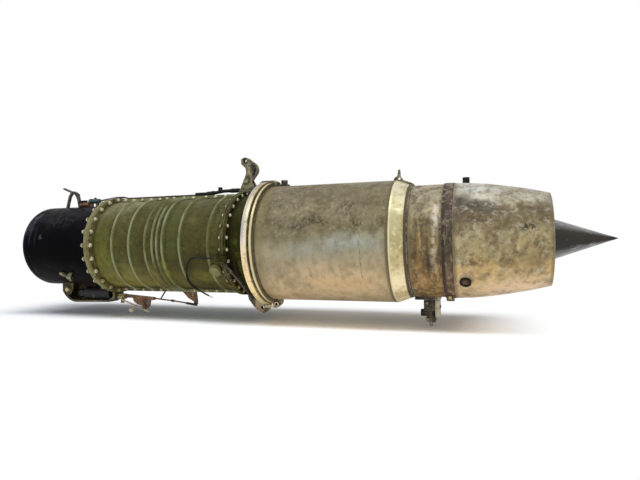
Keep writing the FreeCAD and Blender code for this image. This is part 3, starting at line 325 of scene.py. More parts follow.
# %% [markdown]
# The floor is white paper. To the camera it is exposed a little brighter than paper, so
# that only the shadow is left of it, and away from the shadow it runs into the white
# ground. Under the engine a painted shadow, a darker bluish core that fades out towards
# its edges, is mixed into the paper's colour as the camera sees it. The engine sees the
# floor as a light table, which throws light up on its belly. From below the paper is
# clear, so that the engine's underside can be looked at.

# %% Floor
FLOOR_HEIGHT = -0.308
FLOOR_REACH = 40.0
SHADOW_MIDDLE = (0.85, 0.09, 0.0)
PAPER = (0.80, 0.80, 0.80, 1.0)
# Colours of the painted shadow on the paper: its bluish core and its paler edge.
PAINTED_SHADOW_INNER = (0.50, 0.54, 0.60, 1.0)
PAINTED_SHADOW_OUTER = (0.86, 0.885, 0.925, 1.0)
TABLE_GLOW = 0.42

floor_corners = [
    (x * FLOOR_REACH, y * FLOOR_REACH, FLOOR_HEIGHT)
    for x, y in ((-1, -1), (1, -1), (1, 1), (-1, 1))
]
floor_mesh = bpy.data.meshes.new("floor")
floor_mesh.from_pydata(floor_corners, [], [(0, 1, 2, 3)])
floor = into_scene("floor", floor_mesh)
floor_finish = bpy.data.materials.new("floor_white")
floor_finish.use_nodes = True
tree = floor_finish.node_tree
tree.nodes.clear()
away = vector_calc(tree, "SUBTRACT", object_place(tree), SHADOW_MIDDLE)[0]
parted = split(tree, vector_calc(tree, "ABSOLUTE", away)[0])
beside = span(tree, parted["Y"], 0.18, 0.46)
beyond = span(tree, parted["X"], 0.95, 1.32)
bare = calc(tree, "MAXIMUM", beside, beyond)
# Painted shadow: towards the middle of the engine's shadow the paper's colour darkens to a
# bluish core.
inner_side = span(tree, parted["Y"], 0.03, 0.25)
inner_end = span(tree, parted["X"], 0.75, 1.15)
rim = calc(tree, "MAXIMUM", inner_side, inner_end)
shade = blend_colour(tree, rim, PAINTED_SHADOW_INNER, PAINTED_SHADOW_OUTER)
paper = add(tree, "ShaderNodeBsdfDiffuse", {"Color": PAPER})[0]
sheet = add(tree, "ShaderNodeBsdfDiffuse", {"Color": shade})[0]
under = add(tree, "ShaderNodeEmission", {"Color": WHITE, "Strength": TABLE_GLOW})[0]
glow = add(tree, "ShaderNodeEmission", {"Color": WHITE, "Strength": 1.0})[0]
lifted = add(tree, "ShaderNodeAddShader", {0: paper, 1: under})[0]
exposed = add(tree, "ShaderNodeAddShader", {0: sheet, 1: sheet})[0]
seen = blend_shader(tree, bare, exposed, glow)
mixed = blend_shader(tree, shows_white(tree), lifted, seen)
below = add(tree, "ShaderNodeNewGeometry")["Backfacing"]
clear = add(tree, "ShaderNodeBsdfTransparent")[0]
sided = blend_shader(tree, below, mixed, clear)
add(tree, "ShaderNodeOutputMaterial", {"Surface": sided})
floor_mesh.materials.append(floor_finish)

# %% Lamps
def lamp(name, shift, width, depth, watts):
    """Rectangular soft light, placed from the engine's middle and looking at it."""
    data = bpy.data.lights.new(name, "AREA")
    data.shape = "RECTANGLE"
    data.size = width
    data.size_y = depth
    data.energy = watts
    place = MIDDLE + Vector(shift)
    aim = (MIDDLE - place).to_track_quat("-Z", "Y")
    thing = into_scene(name, data)
    thing.matrix_world = Matrix.Translation(place) @ aim.to_matrix().to_4x4()


lamp("lamp_overhead", (0.25, -0.95, 2.30), 3.6, 0.9, 50.0)
lamp("lamp_near_side", (0.2, -3.4, 0.35), 3.6, 1.6, 18.0)
print("studio ready")

# %% [markdown]
# ## Shared effects as shader groups
#
# Old metal is a base colour with several effects over it, and the same effects return
# on every piece: cloudy blotches, drips that ran down, dirt and painted shade in
# corners, worn edges, and single spots at known places, stains and a few painted
# highlights. Each one is a group that gives out a mask from 0 to 1.
# A material then mixes its own colours by these masks. They read the object's own
# coordinates, so a stain stays where it is from any side.

# %% Group: blotches
def mask_group(name, inputs):
    """Empty shader group that gives out one mask."""
    return new_group(name, "ShaderNodeTree", inputs, ("Mask", FLOAT))


def make_blotches():
    inputs = [
        ("Scale", FLOAT, 8.0),
        ("Stretch", VECTOR, (1.0, 1.0, 1.0)),
        ("Offset", VECTOR, (0.0, 0.0, 0.0)),
        ("Low", FLOAT, 0.45),
        ("High", FLOAT, 0.60),
        ("Detail", FLOAT, 6.0),
    ]
    group, given, give = mask_group("blotches", inputs)
    moved = vector_calc(group, "ADD", object_place(group), given["Offset"])[0]
    drawn = vector_calc(group, "MULTIPLY", moved, given["Stretch"])[0]
    cloud = noise(group, drawn, given["Scale"], given["Detail"], 0.62)[0]
    return give(span(group, cloud, given["Low"], given["High"]))


BLOTCHES = make_blotches()

# %% [markdown]
# Worn edges: the Bevel node rounds the normal near an edge, so the difference between
# the rounded and the true normal is large only there. A little noise breaks the line up,
# because paint never wears evenly.

# %% Group: worn edges
def make_edge_wear():
    inputs = [("Width", FLOAT, 0.004), ("Break Up", FLOAT, 60.0)]
    group, given, give = mask_group("edge_wear", inputs)
    rounded = add(group, "ShaderNodeBevel", {"Radius": given["Width"]}, samples=4)[0]
    true = add(group, "ShaderNodeNewGeometry")["Normal"]
    same = vector_calc(group, "DOT_PRODUCT", rounded, true)["Value"]
    edge = span(group, same, 0.995, 0.90)
    speckle = noise(group, object_place(group), given["Break Up"], 4.0)[0]
    return give(times(group, edge, span(group, speckle, 0.36, 0.56)))


EDGE_WEAR = make_edge_wear()

# %% [markdown]
# Dirt and painted shade in corners: ambient occlusion is high where surfaces meet.
# Rubbing keeps open faces clean, so the mask is its opposite, made ragged by noise. The
# same darkening is also painted shade, where shade falls beside ribs, flanges and nuts.

# %% Group: dirt and painted shade in corners
def make_corner_dirt_and_shade():
    inputs = [("Reach", FLOAT, 0.03), ("Amount", FLOAT, 1.0)]
    group, given, give = mask_group("corner_dirt_and_shade", inputs)
    sky = add(group, "ShaderNodeAmbientOcclusion", {"Distance": given["Reach"]}, samples=4)
    ragged = noise(group, object_place(group), 38.0, 5.0)[0]
    shut = minus(group, 1.0, sky["AO"])
    shut = times(group, shut, span(group, ragged, 0.25, 0.6, 0.5, 1.5))
    return give(calc(group, "MULTIPLY", shut, given["Amount"], clamp=True))


CORNER_DIRT_AND_SHADE = make_corner_dirt_and_shade()

# %% [markdown]
# A single spot at a known place, used for stains and for a few painted highlights:
# distance to a centre, measured in a box of the spot's own size, with the place shaken by
# noise first so that the outline is ragged.

# %% Group: one spot at a known place
def make_spot_mark():
    inputs = [
        ("Centre", VECTOR, (0.0, 0.0, 0.0)),
        ("Size", VECTOR, (0.1, 0.1, 0.1)),
        ("Raggedness", FLOAT, 0.5),
        ("Grain", FLOAT, 14.0),
        ("Softness", FLOAT, 0.6),
    ]
    group, given, give = mask_group("spot_mark", inputs)
    place = object_place(group)
    away = vector_calc(group, "SUBTRACT", place, given["Centre"])[0]
    scaled = vector_calc(group, "DIVIDE", away, given["Size"])[0]
    shake = noise(group, place, given["Grain"], 5.0, 0.6)["Color"]
    centred = vector_calc(group, "SUBTRACT", shake, (0.5, 0.5, 0.5))[0]
    factor = {0: centred, 3: given["Raggedness"]}
    moved = add(group, "ShaderNodeVectorMath", factor, operation="SCALE")[0]
    total = vector_calc(group, "ADD", scaled, moved)[0]
    far = vector_calc(group, "LENGTH", total)["Value"]
    return give(span(group, far, 1.0, minus(group, 1.0, given["Softness"])))


SPOT_MARK = make_spot_mark()

# %% [markdown]
# Relief: sheet metal is never flat. A slow wave gives the dents of a skin that was
# handled, a fine grain gives casting skin or corrosion. Both go through Bump nodes, one
# after the other, and come out as one normal.

# %% Group: relief
PLAIN_RELIEF = (9.0, 0.002, 260.0, 0.0002)
RELIEF_INPUTS = ("Wave Scale", "Wave Height", "Grain Scale", "Grain Height")


def make_relief():
    inputs = [(name, FLOAT, size) for name, size in zip(RELIEF_INPUTS, PLAIN_RELIEF)]
    group, given, give = new_group("relief", "ShaderNodeTree", inputs, ("Normal", VECTOR))
    place = object_place(group)
    wave = noise(group, place, given["Wave Scale"], 2.0)[0]
    grain = noise(group, place, given["Grain Scale"], 5.0, 0.65)[0]
    slow = {"Strength": 1.0, "Distance": given["Wave Height"], "Height": wave}
    fine = {"Strength": 1.0, "Distance": given["Grain Height"], "Height": grain}
    fine["Normal"] = add(group, "ShaderNodeBump", slow)[0]
    return give(add(group, "ShaderNodeBump", fine)[0])


RELIEF = make_relief()
print("shader groups:", [g.name for g in bpy.data.node_groups])

# %% [markdown]
# ## A recipe for weathering, with painted light
#
# One function turns a recipe into a material. The base is a row of colours by height.
# It is partly the engine's weathering where it stood, rain-washed grey on top and tan
# below, and on several pieces partly painted light: a brighter belly that stands for
# light thrown up by the floor, and a paler top that is a painted highlight. Over it
# come the layers, each a mask with a colour. Roughness follows the same masks: dirt is
# dull, worn metal shines. Colours are written as screen colours of 0 to 255.

# %% Weathered material
HALF_HEIGHT = 0.24
HEIGHT_SHAKE = 0.24


def height_colours(tree, stops):
    """Colour by height, from the lowest stop (0) to the highest (1)."""
    height = split(tree, object_place(tree))["Z"]
    shake = use_group(tree, BLOTCHES, {"Scale": 7.0, "Low": 0.2, "High": 0.8})["Mask"]
    level_now = span(tree, height, -HALF_HEIGHT, HALF_HEIGHT)
    level_now = plus(tree, level_now, times(tree, shake, HEIGHT_SHAKE))
    level_now = minus(tree, level_now, HEIGHT_SHAKE / 2)
    ramp = tree.nodes.new("ShaderNodeValToRGB")
    fill(tree, ramp, {0: level_now})
    points = ramp.color_ramp.elements
    for index, (place_now, colour) in enumerate(stops):
        if index < 2:
            points[index].position = place_now
            points[index].color = rgb(colour)
        else:
            points.new(place_now).color = rgb(colour)
    return ramp.outputs[0]


def weathered_with_painted_light(name, stops, layers, rough=0.5, metal=0.0, relief=PLAIN_RELIEF, specular=0.5):
    """Material from a recipe. A layer is (mask maker, colour, strength, roughness)."""
    material = bpy.data.materials.new(name)
    material.use_nodes = True
    tree = material.node_tree
    tree.nodes.clear()
    colour = height_colours(tree, stops)
    cloud = use_group(tree, BLOTCHES, {"Scale": 26.0, "Low": 0.25, "High": 0.75})["Mask"]
    dull = span(tree, cloud, 0.0, 1.0, max(rough - 0.10, 0.05), min(rough + 0.10, 1.0))
    for make_mask, tint, strength, own_rough in layers:
        mask = calc(tree, "MULTIPLY", make_mask(tree), strength, clamp=True)
        colour = blend_colour(tree, mask, colour, rgb(tint))
        keep = times(tree, minus(tree, 1.0, mask), dull)
        dull = plus(tree, keep, times(tree, mask, own_rough))
    sockets = {
        "Base Color": colour,
        "Roughness": dull,
        "Metallic": metal,
        "Specular IOR Level": specular,
        "Normal": use_group(tree, RELIEF, dict(zip(RELIEF_INPUTS, relief)))["Normal"],
    }
    shader = add(tree, "ShaderNodeBsdfPrincipled", sockets)[0]
    add(tree, "ShaderNodeOutputMaterial", {"Surface": shader})
    return material


def mask_maker(group, **inputs):
    """Mask maker: the group's mask. An input's name is written with _ for a space."""
    named = {name.replace("_", " "): item for name, item in inputs.items()}
    return lambda tree: use_group(tree, group, named)["Mask"]


def blotch(scale, low, high, stretch=(1, 1, 1), offset=(0, 0, 0), detail=6.0):
    """Mask maker: cloudy patches."""
    return mask_maker(
        BLOTCHES, Scale=scale, Low=low, High=high, Stretch=stretch, Offset=offset, Detail=detail
    )


def drips(scale, low, high, offset=(0, 0, 0)):
    """Mask maker: streaks that ran down, so they are long in height."""
    return blotch(scale, low, high, (1.0, 1.0, 0.10), offset)


def worn(width=0.004, break_up=60.0):
    """Mask maker: edges rubbed bare."""
    return mask_maker(EDGE_WEAR, Width=width, Break_Up=break_up)


def corners(reach=0.03, amount=1.0):
    """Mask maker: dirt and painted shade where surfaces meet."""
    return mask_maker(CORNER_DIRT_AND_SHADE, Reach=reach, Amount=amount)


def spot_mark(centre, size, ragged=0.5, softness=0.6, grain=14.0):
    """Mask maker: one spot at a known place; mostly stains, in a few places painted highlights.
    """
    return mask_maker(
        SPOT_MARK, Centre=centre, Size=size, Raggedness=ragged, Softness=softness, Grain=grain
    )


def both(first, second):
    """Mask maker: only where two masks meet."""
    return lambda tree: times(tree, first(tree), second(tree))


def speckled_patch(centre, size, scale=95.0):
    """Mask maker: fine speckles, densest at the middle; dirt, and a few painted highlights and
    shade.
    """
    return both(spot_mark(centre, size, 0.9, 0.95, 18.0), blotch(scale, 0.42, 0.56, detail=8.0))


# %% [markdown]
# Some marks follow the engine's own build: a band between two stations, whatever stands
# out furthest from the axis, whatever lies high or low. They come from the same object
# coordinates: X is the station, Z the height, and the distance from the X axis tells a
# rib from the skin beside it.

# %% Masks by place on the engine
def coordinate(tree, axis):
    """One object coordinate as a number."""
    return split(tree, object_place(tree))[axis]


def station_band(start, end, soft=0.002):
    """Mask maker: everything between two stations along the axis."""

    def make(tree):
        station = coordinate(tree, "X")
        after = span(tree, station, start - soft, start + soft)
        return times(tree, after, span(tree, station, end + soft, end - soft))

    return make


def rearward(start, end):
    """Mask maker: nothing before the first station, everything after the second."""
    return lambda tree: span(tree, coordinate(tree, "X"), start, end)


def upward_of(low, high):
    """Mask maker: nothing below the first height, everything above the second."""
    return lambda tree: span(tree, coordinate(tree, "Z"), low, high)


def proud_of(inner, outer):
    """Mask maker: what stands out from the axis, such as a rib on a skin."""

    def make(tree):
        sideways, height = coordinate(tree, "Y"), coordinate(tree, "Z")
        squares = plus(tree, times(tree, sideways, sideways), times(tree, height, height))
        return span(tree, calc(tree, "SQRT", squares), inner, outer)

    return make


def lying_flat(low, high):
    """Mask maker: faces that look up or down."""

    def make(tree):
        steep = split(tree, add(tree, "ShaderNodeNewGeometry")["Normal"])["Z"]
        return span(tree, calc(tree, "ABSOLUTE", steep), low, high)

    return make


# %% [markdown]
# ## Painted finishes
#
# The colours were read from the photograph, region by region, and written down as
# screen colours. Each mark below stands where the photograph shows it. First the black
# drum: satin paint, nearly black. Its bluish marks at the mouth are partly scuffs and
# partly painted highlights and reflections, the grey marks on its upper half are painted
# highlights, and its browner underside is a painted reflection of the floor.

# %% Drum paint
BLACK = weathered_with_painted_light(
    "black_drum_paint",
    # The browner lowest stops are a painted reflection of the floor on the drum's underside.
    [(0.0, (38, 32, 30)), (0.10, (25, 21, 20)), (0.28, (4, 4, 5)), (0.7, (2, 2, 5)),
     (1.0, (6, 6, 8))],
    [
        (blotch(4.0, 0.50, 0.70), (12, 12, 16), 0.6, 0.42),
        # Painted highlights: grey streaks on the upper half.
        (both(blotch(34.0, 0.52, 0.66, (0.35, 1, 1)), upward_of(0.05, 0.12)),
         (42, 42, 46), 0.6, 0.45),
        # Painted reflection: a bluish stripe down the mouth. The pale and bluish flecks below
        # are partly scuffs, partly painted highlights.
        (spot_mark((0.086, -0.165, 0.045), (0.004, 0.08, 0.080), 0.4, 0.9, 40.0),
         (46, 54, 62), 0.7, 0.4),
        (speckled_patch((0.030, -0.140, 0.078), (0.050, 0.06, 0.06), 60.0), (88, 88, 96), 0.65, 0.4),
        # Painted highlight: the grey patch on the rear of the top.
        (speckled_patch((0.200, -0.120, 0.110), (0.160, 0.08, 0.060), 60.0), (46, 46, 52), 0.8, 0.4),
        # Painted reflection: a bluish line along the crease of the lip.
        (both(station_band(0.052, 0.060, 0.002), blotch(9.0, 0.40, 0.60)),
         (58, 62, 78), 0.75, 0.3),
        (speckled_patch((0.055, -0.110, 0.120), (0.030, 0.06, 0.035), 70.0), (104, 104, 116), 0.7, 0.4),
        (speckled_patch((0.116, -0.171, 0.039), (0.014, 0.04, 0.018), 80.0), (96, 98, 120), 0.7, 0.4),
        (blotch(110.0, 0.66, 0.74), (70, 68, 66), 0.35, 0.6),
        (station_band(-0.01, 0.012, 0.006), (10, 11, 14), 0.7, 0.40),
        (worn(0.003, 80.0), (66, 65, 64), 0.45, 0.40),
    ],
    rough=0.42, relief=(6.0, 0.0015, 180.0, 0.00012), specular=0.025,
)

# %% [markdown]
# The compressor casing is a light alloy casting under olive paint. Rain and hands left it
# greyer in front and browner towards the diffuser. The crowns of the ribs get a pale
# colour by their distance from the axis: partly paint rubbed through, partly a painted
# highlight where a rib's near face catches the light. Dirt and painted shade lie in the
# corners beside them, and a painted shadow darkens the band along the lower side.

# %% Olive paint
OLIVE = weathered_with_painted_light(
    "olive_casing_paint",
    [(0.0, (116, 110, 44)), (0.12, (130, 121, 50)), (0.35, (94, 93, 38)), (0.60, (88, 89, 40)),
     (0.85, (98, 99, 50)), (1.0, (120, 121, 72))],
    [
        (rearward(0.44, 0.74), (66, 62, 22), 0.66, 0.5),
        (both(station_band(0.400, 0.560, 0.05), upward_of(0.06, 0.15)),
         (142, 140, 104), 0.75, 0.5),
        (both(station_band(0.560, 0.700, 0.04), upward_of(-0.05, -0.12)),
         (138, 126, 66), 0.55, 0.5),
        (blotch(5.0, 0.46, 0.64), (60, 54, 18), 0.62, 0.6),
        (blotch(11.0, 0.54, 0.66, offset=(3, 1, 0)), (104, 108, 58), 0.45, 0.4),
        (both(station_band(0.594, 0.657, 0.008), blotch(6.0, 0.36, 0.56)),
         (60, 52, 20), 0.65, 0.6),
        (both(station_band(0.750, 0.800, 0.012), upward_of(-0.10, 0.05)),
         (78, 84, 44), 0.5, 0.6),
        (both(station_band(0.828, 0.935, 0.015), blotch(7.0, 0.38, 0.60)),
         (56, 50, 20), 0.60, 0.6),
        (drips(26.0, 0.50, 0.66), (70, 66, 28), 0.40, 0.6),
        (speckled_patch((0.640, -0.170, 0.020), (0.050, 0.08, 0.060), 60.0), (52, 44, 20), 0.6, 0.65),
        (speckled_patch((0.960, -0.130, 0.130), (0.060, 0.08, 0.080), 60.0), (42, 38, 14), 0.8, 0.65),
        (spot_mark((0.738, -0.155, -0.100), (0.020, 0.08, 0.070), 0.8, 0.8),
         (158, 160, 44), 0.75, 0.4),
        (spot_mark((0.470, -0.170, -0.060), (0.060, 0.08, 0.110), 0.8, 0.9),
         (108, 112, 42), 0.5, 0.4),
        (spot_mark((0.900, -0.150, -0.130), (0.090, 0.08, 0.040), 0.8, 0.9),
         (116, 112, 34), 0.6, 0.4),
        (blotch(52.0, 0.48, 0.70), (50, 46, 18), 0.50, 0.7),
        (blotch(110.0, 0.54, 0.72, offset=(7, 0, 0)), (136, 132, 84), 0.30, 0.6),
        # Painted shadow: a dark band along the lower side, just above the lower joint flange.
        (both(station_band(0.410, 0.990, 0.004), upward_of(-0.168, -0.182)),
         (48, 42, 14), 0.75, 0.7),
        # Dirt and painted shade in the corners beside the ribs and flanges.
        (corners(0.024, 1.5), (34, 30, 10), 0.92, 0.8),
        # Pale rib crowns: partly paint rubbed through, partly painted highlight.
        (both(proud_of(0.1870, 0.1905), station_band(0.45, 0.96, 0.01)),
         (122, 122, 76), 0.50, 0.45),
        (both(proud_of(0.1885, 0.1925), blotch(8.0, 0.38, 0.58)), (160, 166, 130), 0.72, 0.40),
        (station_band(0.380, 0.410, 0.001), (112, 104, 64), 0.75, 0.5),
        (both(station_band(0.380, 0.410, 0.001), blotch(40.0, 0.46, 0.60)),
         (66, 58, 34), 0.75, 0.6),
        (rearward(1.000, 1.004), (70, 62, 30), 0.85, 0.6),
        (both(rearward(1.000, 1.004), blotch(34.0, 0.46, 0.58)), (34, 28, 12), 0.8, 0.7),
        (worn(0.004, 50.0), (146, 142, 96), 0.6, 0.45),
        (both(station_band(0.43, 0.66, 0.02), upward_of(-0.188, -0.195)),
         (74, 54, 34), 0.85, 0.7),
    ],
    rough=0.44, relief=(10.0, 0.0014, 220.0, 0.0002), specular=0.16,
)
DARK_OLIVE = weathered_with_painted_light(
    "diffuser_paint",
    [(0.0, (70, 66, 14)), (0.25, (46, 44, 8)), (0.6, (38, 36, 6)), (1.0, (52, 54, 20))],
    [
        (blotch(14.0, 0.50, 0.64), (62, 56, 18), 0.6, 0.7),
        (blotch(34.0, 0.54, 0.64, offset=(2, 0, 5)), (84, 88, 34), 0.55, 0.6),
        (corners(0.03, 1.2), (14, 12, 4), 0.9, 0.85),
        (worn(0.003, 70.0), (128, 122, 84), 0.6, 0.4),
    ],
    rough=0.6, specular=0.08,
)
print("paints ready")

# %% [markdown]
# Flanges and their nuts are bare alloy and plated steel. They are the palest things on
# the front half, with dirt and painted shade between one nut and the next.

# %% Flange alloy and nuts
FLANGE = weathered_with_painted_light(
    "flange_alloy",
    [(0.0, (134, 126, 66)), (0.5, (124, 120, 78)), (1.0, (122, 118, 82))],
    [
        (blotch(18.0, 0.46, 0.60), (92, 88, 46), 0.7, 0.6),
        (blotch(48.0, 0.54, 0.64, offset=(5, 5, 0)), (164, 160, 116), 0.55, 0.45),
        (corners(0.018, 1.4), (40, 36, 18), 0.92, 0.8),
        (worn(0.003, 80.0), (186, 184, 152), 0.8, 0.35),
    ],
    rough=0.46, metal=0.30,
)
NUTS = weathered_with_painted_light(
    "pale_nuts",
    [(0.0, (198, 186, 132)), (0.2, (216, 208, 166)), (0.5, (234, 230, 202)),
     (1.0, (230, 224, 192))],
    [
        (blotch(60.0, 0.46, 0.62), (150, 138, 90), 0.65, 0.6),
        (blotch(150.0, 0.56, 0.66), (110, 98, 60), 0.5, 0.7),
        (corners(0.006, 1.0), (70, 62, 36), 0.75, 0.8),
    ],
    rough=0.40, metal=0.35, relief=(60.0, 0.0003, 700.0, 0.0001),
)
print("flange finishes ready")

# %% [markdown]
# ## Heat-stained steels
#
# The burner casing went tan below and olive-grey above, with a washed bluish patch in
# its middle; its pale belly is partly that tan and partly painted light thrown up from
# the floor. Oil mist left speckles that crowd together on the upper half, so they are
# made from fine noise inside a few soft patches. The fine noise also covers the rest,
# weaker, because bare steel of that age has no clean spot.

# %% Rings and burner casing
RING = weathered_with_painted_light(
    "ring_steel",
    [(0.0, (255, 226, 158)), (0.25, (250, 220, 168)), (0.5, (226, 216, 194)),
     (0.8, (212, 200, 162)), (1.0, (190, 174, 128))],
    [
        (blotch(16.0, 0.50, 0.66), (232, 224, 202), 0.5, 0.35),
        (blotch(34.0, 0.54, 0.66, offset=(4, 0, 0)), (150, 126, 88), 0.6, 0.6),
        (blotch(110.0, 0.58, 0.68), (118, 100, 66), 0.45, 0.6),
        (corners(0.016, 1.1), (60, 50, 30), 0.85, 0.8),
        (both(station_band(1.100, 1.1195, 0.0015), upward_of(-0.03, 0.05)),
         (168, 162, 162), 0.75, 0.5),
        (worn(0.003, 60.0), (236, 232, 216), 0.8, 0.3),
    ],
    rough=0.42, metal=0.40,
)
BURNER = weathered_with_painted_light(
    "burner_steel",
    [(0.0, (200, 174, 134)), (0.14, (200, 175, 136)), (0.32, (174, 160, 128)),
     (0.48, (146, 139, 110)), (0.62, (128, 120, 90)), (0.80, (112, 102, 74)),
     (1.0, (118, 107, 82))],
    [
        (blotch(3.4, 0.46, 0.66), (134, 127, 98), 0.5, 0.5),
        (blotch(9.0, 0.46, 0.68, offset=(0, 2, 1)), (98, 88, 54), 0.55, 0.6),
        (spot_mark((1.49, -0.222, -0.004), (0.190, 0.14, 0.050), 0.9, 0.95, 9.0),
         (160, 165, 156), 0.85, 0.42),
        (spot_mark((1.34, -0.218, -0.030), (0.140, 0.14, 0.050), 0.9, 0.95, 9.0),
         (154, 154, 140), 0.75, 0.42),
        (both(upward_of(-0.06, 0.06), blotch(26.0, 0.44, 0.64, detail=9.0)),
         (82, 72, 42), 0.62, 0.65),
        (both(upward_of(-0.04, 0.10), blotch(58.0, 0.46, 0.70, (1, 1, 0.8), (4, 0, 0))),
         (66, 56, 30), 0.60, 0.65),
        (blotch(20.0, 0.50, 0.70, (1, 1, 0.7), (3, 1, 7), 9.0), (122, 112, 76), 0.50, 0.65),
        (blotch(60.0, 0.50, 0.72, (1, 1, 0.7), (1, 1, 7), 9.0), (118, 102, 68), 0.40, 0.65),
        (blotch(70.0, 0.50, 0.72, offset=(9, 0, 0)), (182, 172, 144), 0.30, 0.5),
        (speckled_patch((1.378, -0.208, 0.076), (0.070, 0.08, 0.030)), (58, 46, 22), 0.95, 0.65),
        (speckled_patch((1.310, -0.216, 0.052), (0.060, 0.08, 0.024)), (66, 62, 52), 0.90, 0.65),
        (speckled_patch((1.250, -0.205, 0.062), (0.030, 0.08, 0.024)), (64, 54, 30), 0.85, 0.65),
        (speckled_patch((1.491, -0.185, 0.122), (0.060, 0.08, 0.026)), (66, 54, 28), 0.90, 0.65),
        (speckled_patch((1.525, -0.216, 0.058), (0.050, 0.08, 0.040)), (70, 52, 26), 0.90, 0.65),
        (speckled_patch((1.612, -0.211, 0.070), (0.040, 0.08, 0.030)), (70, 60, 34), 0.90, 0.65),
        (speckled_patch((1.188, -0.172, 0.130), (0.040, 0.08, 0.030)), (72, 62, 32), 0.80, 0.65),
        (speckled_patch((1.42, -0.150, 0.160), (0.200, 0.12, 0.050), 46.0), (92, 82, 54), 0.70, 0.65),
        (both(drips(38.0, 0.50, 0.70), upward_of(0.06, -0.04)), (182, 162, 124), 0.40, 0.5),
        (both(drips(50.0, 0.48, 0.70, offset=(3, 0, 0)), upward_of(0.02, -0.10)),
         (142, 120, 82), 0.45, 0.6),
        (spot_mark((1.480, -0.160, -0.140), (0.200, 0.12, 0.030), 1.2, 0.95, 12.0),
         (202, 162, 108), 0.45, 0.5),
        (station_band(1.1325, 1.1465, 0.001), (226, 214, 160), 0.85, 0.38),
        (station_band(1.120, 1.1325, 0.001), (74, 62, 36), 0.80, 0.7),
        (station_band(1.1475, 1.1545, 0.002), (84, 72, 42), 0.85, 0.7),
        (station_band(1.155, 1.185, 0.014), (128, 114, 72), 0.45, 0.6),
        (station_band(1.622, 1.634, 0.004), (84, 74, 46), 0.75, 0.6),
        (corners(0.012, 1.2), (58, 46, 26), 0.8, 0.8),
        (worn(0.003, 60.0), (214, 204, 176), 0.6, 0.35),
    ],
    rough=0.50, metal=0.25, relief=(12.0, 0.0024, 240.0, 0.00025),
)
print("burner finishes ready")

# %% [markdown]
# The conical band is the brightest piece. Behind it the turbine casing got hotter: brown
# and orange drips run down it, and the clamp seam is rusty, with a black line where
# soot blew out.

# %% Band, turbine casing and seam
BAND = weathered_with_painted_light(
    "band_steel",
    # The bright lowest and highest stops are painted highlights on the band's belly and top.
    [(0.0, (255, 236, 196)), (0.12, (250, 228, 180)), (0.30, (216, 200, 150)),
     (0.50, (186, 174, 126)), (0.75, (190, 182, 138)), (1.0, (224, 218, 190))],
    [
        (blotch(15.0, 0.46, 0.60), (168, 152, 92), 0.55, 0.4),
        (blotch(22.0, 0.54, 0.66, offset=(0, 3, 0)), (236, 228, 192), 0.6, 0.25),
        (blotch(60.0, 0.50, 0.70), (146, 130, 84), 0.45, 0.5),
        (station_band(1.628, 1.638, 0.002), (232, 214, 168), 0.8, 0.3),
        (station_band(1.679, 1.700, 0.002), (66, 54, 30), 0.95, 0.7),
        (worn(0.003, 60.0), (244, 238, 216), 0.6, 0.25),
    ],
    rough=0.46, metal=0.30, relief=(20.0, 0.0036, 240.0, 0.00015),
)
TURBINE = weathered_with_painted_light(
    "turbine_steel",
    [(0.0, (150, 118, 66)), (0.16, (148, 115, 56)), (0.36, (123, 101, 50)),
     (0.55, (114, 98, 56)), (0.75, (140, 131, 98)), (1.0, (168, 162, 142))],
    [
        (blotch(14.0, 0.48, 0.62), (92, 72, 42), 0.60, 0.6),
        (drips(30.0, 0.44, 0.62), (78, 60, 32), 0.72, 0.65),
        (drips(54.0, 0.54, 0.64, offset=(5, 0, 0)), (186, 158, 112), 0.60, 0.45),
        (drips(46.0, 0.52, 0.66, offset=(0, 7, 0)), (140, 102, 46), 0.50, 0.5),
        (blotch(40.0, 0.52, 0.62, offset=(0, 0, 5)), (64, 50, 32), 0.55, 0.7),
        (blotch(70.0, 0.50, 0.70), (186, 172, 142), 0.35, 0.5),
        (spot_mark((1.757, -0.186, -0.074), (0.009, 0.08, 0.090), 0.9, 0.9, 40.0),
         (60, 44, 26), 0.9, 0.7),
        (speckled_patch((1.782, -0.178, 0.080), (0.022, 0.08, 0.100), 50.0), (206, 198, 180), 0.85, 0.5),
        (speckled_patch((1.776, -0.180, -0.020), (0.018, 0.08, 0.110), 50.0),
         (204, 188, 160), 0.80, 0.5),
        (speckled_patch((1.735, -0.180, 0.060), (0.050, 0.08, 0.050), 70.0), (64, 50, 30), 0.9, 0.6),
        (speckled_patch((1.797, -0.195, 0.050), (0.012, 0.08, 0.090), 50.0), (30, 20, 14), 0.95, 0.75),
        (speckled_patch((1.792, -0.185, -0.060), (0.010, 0.08, 0.060), 50.0), (70, 44, 24), 0.8, 0.75),
        (station_band(1.684, 1.704, 0.004), (110, 100, 76), 0.5, 0.7),
        (station_band(1.688, 1.694, 0.002), (54, 42, 24), 0.8, 0.7),
        (corners(0.014, 1.2), (48, 34, 18), 0.85, 0.8),
        (worn(0.003, 60.0), (204, 194, 172), 0.6, 0.35),
    ],
    rough=0.54, metal=0.20, relief=(14.0, 0.0024, 200.0, 0.0004),
)
RUST = weathered_with_painted_light(
    "seam_rust",
    [(0.0, (140, 108, 74)), (0.35, (84, 68, 48)), (0.7, (66, 55, 40)), (1.0, (80, 68, 52))],
    [
        (station_band(1.790, 1.812, 0.004), (38, 26, 20), 0.92, 0.8),
        (speckled_patch((1.806, -0.200, 0.030), (0.012, 0.08, 0.080), 50.0), (20, 12, 10), 0.95, 0.8),
        (blotch(26.0, 0.46, 0.60), (62, 46, 32), 0.75, 0.8),
        (drips(60.0, 0.54, 0.64), (150, 134, 104), 0.60, 0.5),
        (both(blotch(50.0, 0.48, 0.68), upward_of(-0.06, 0.02)), (164, 152, 126), 0.60, 0.5),
        (blotch(110.0, 0.54, 0.62, offset=(2, 2, 2)), (40, 28, 20), 0.60, 0.5),
        (corners(0.012, 1.0), (30, 20, 14), 0.85, 0.85),
    ],
    rough=0.68, metal=0.10, relief=(26.0, 0.003, 160.0, 0.0007),
)
print("turbine finishes ready")
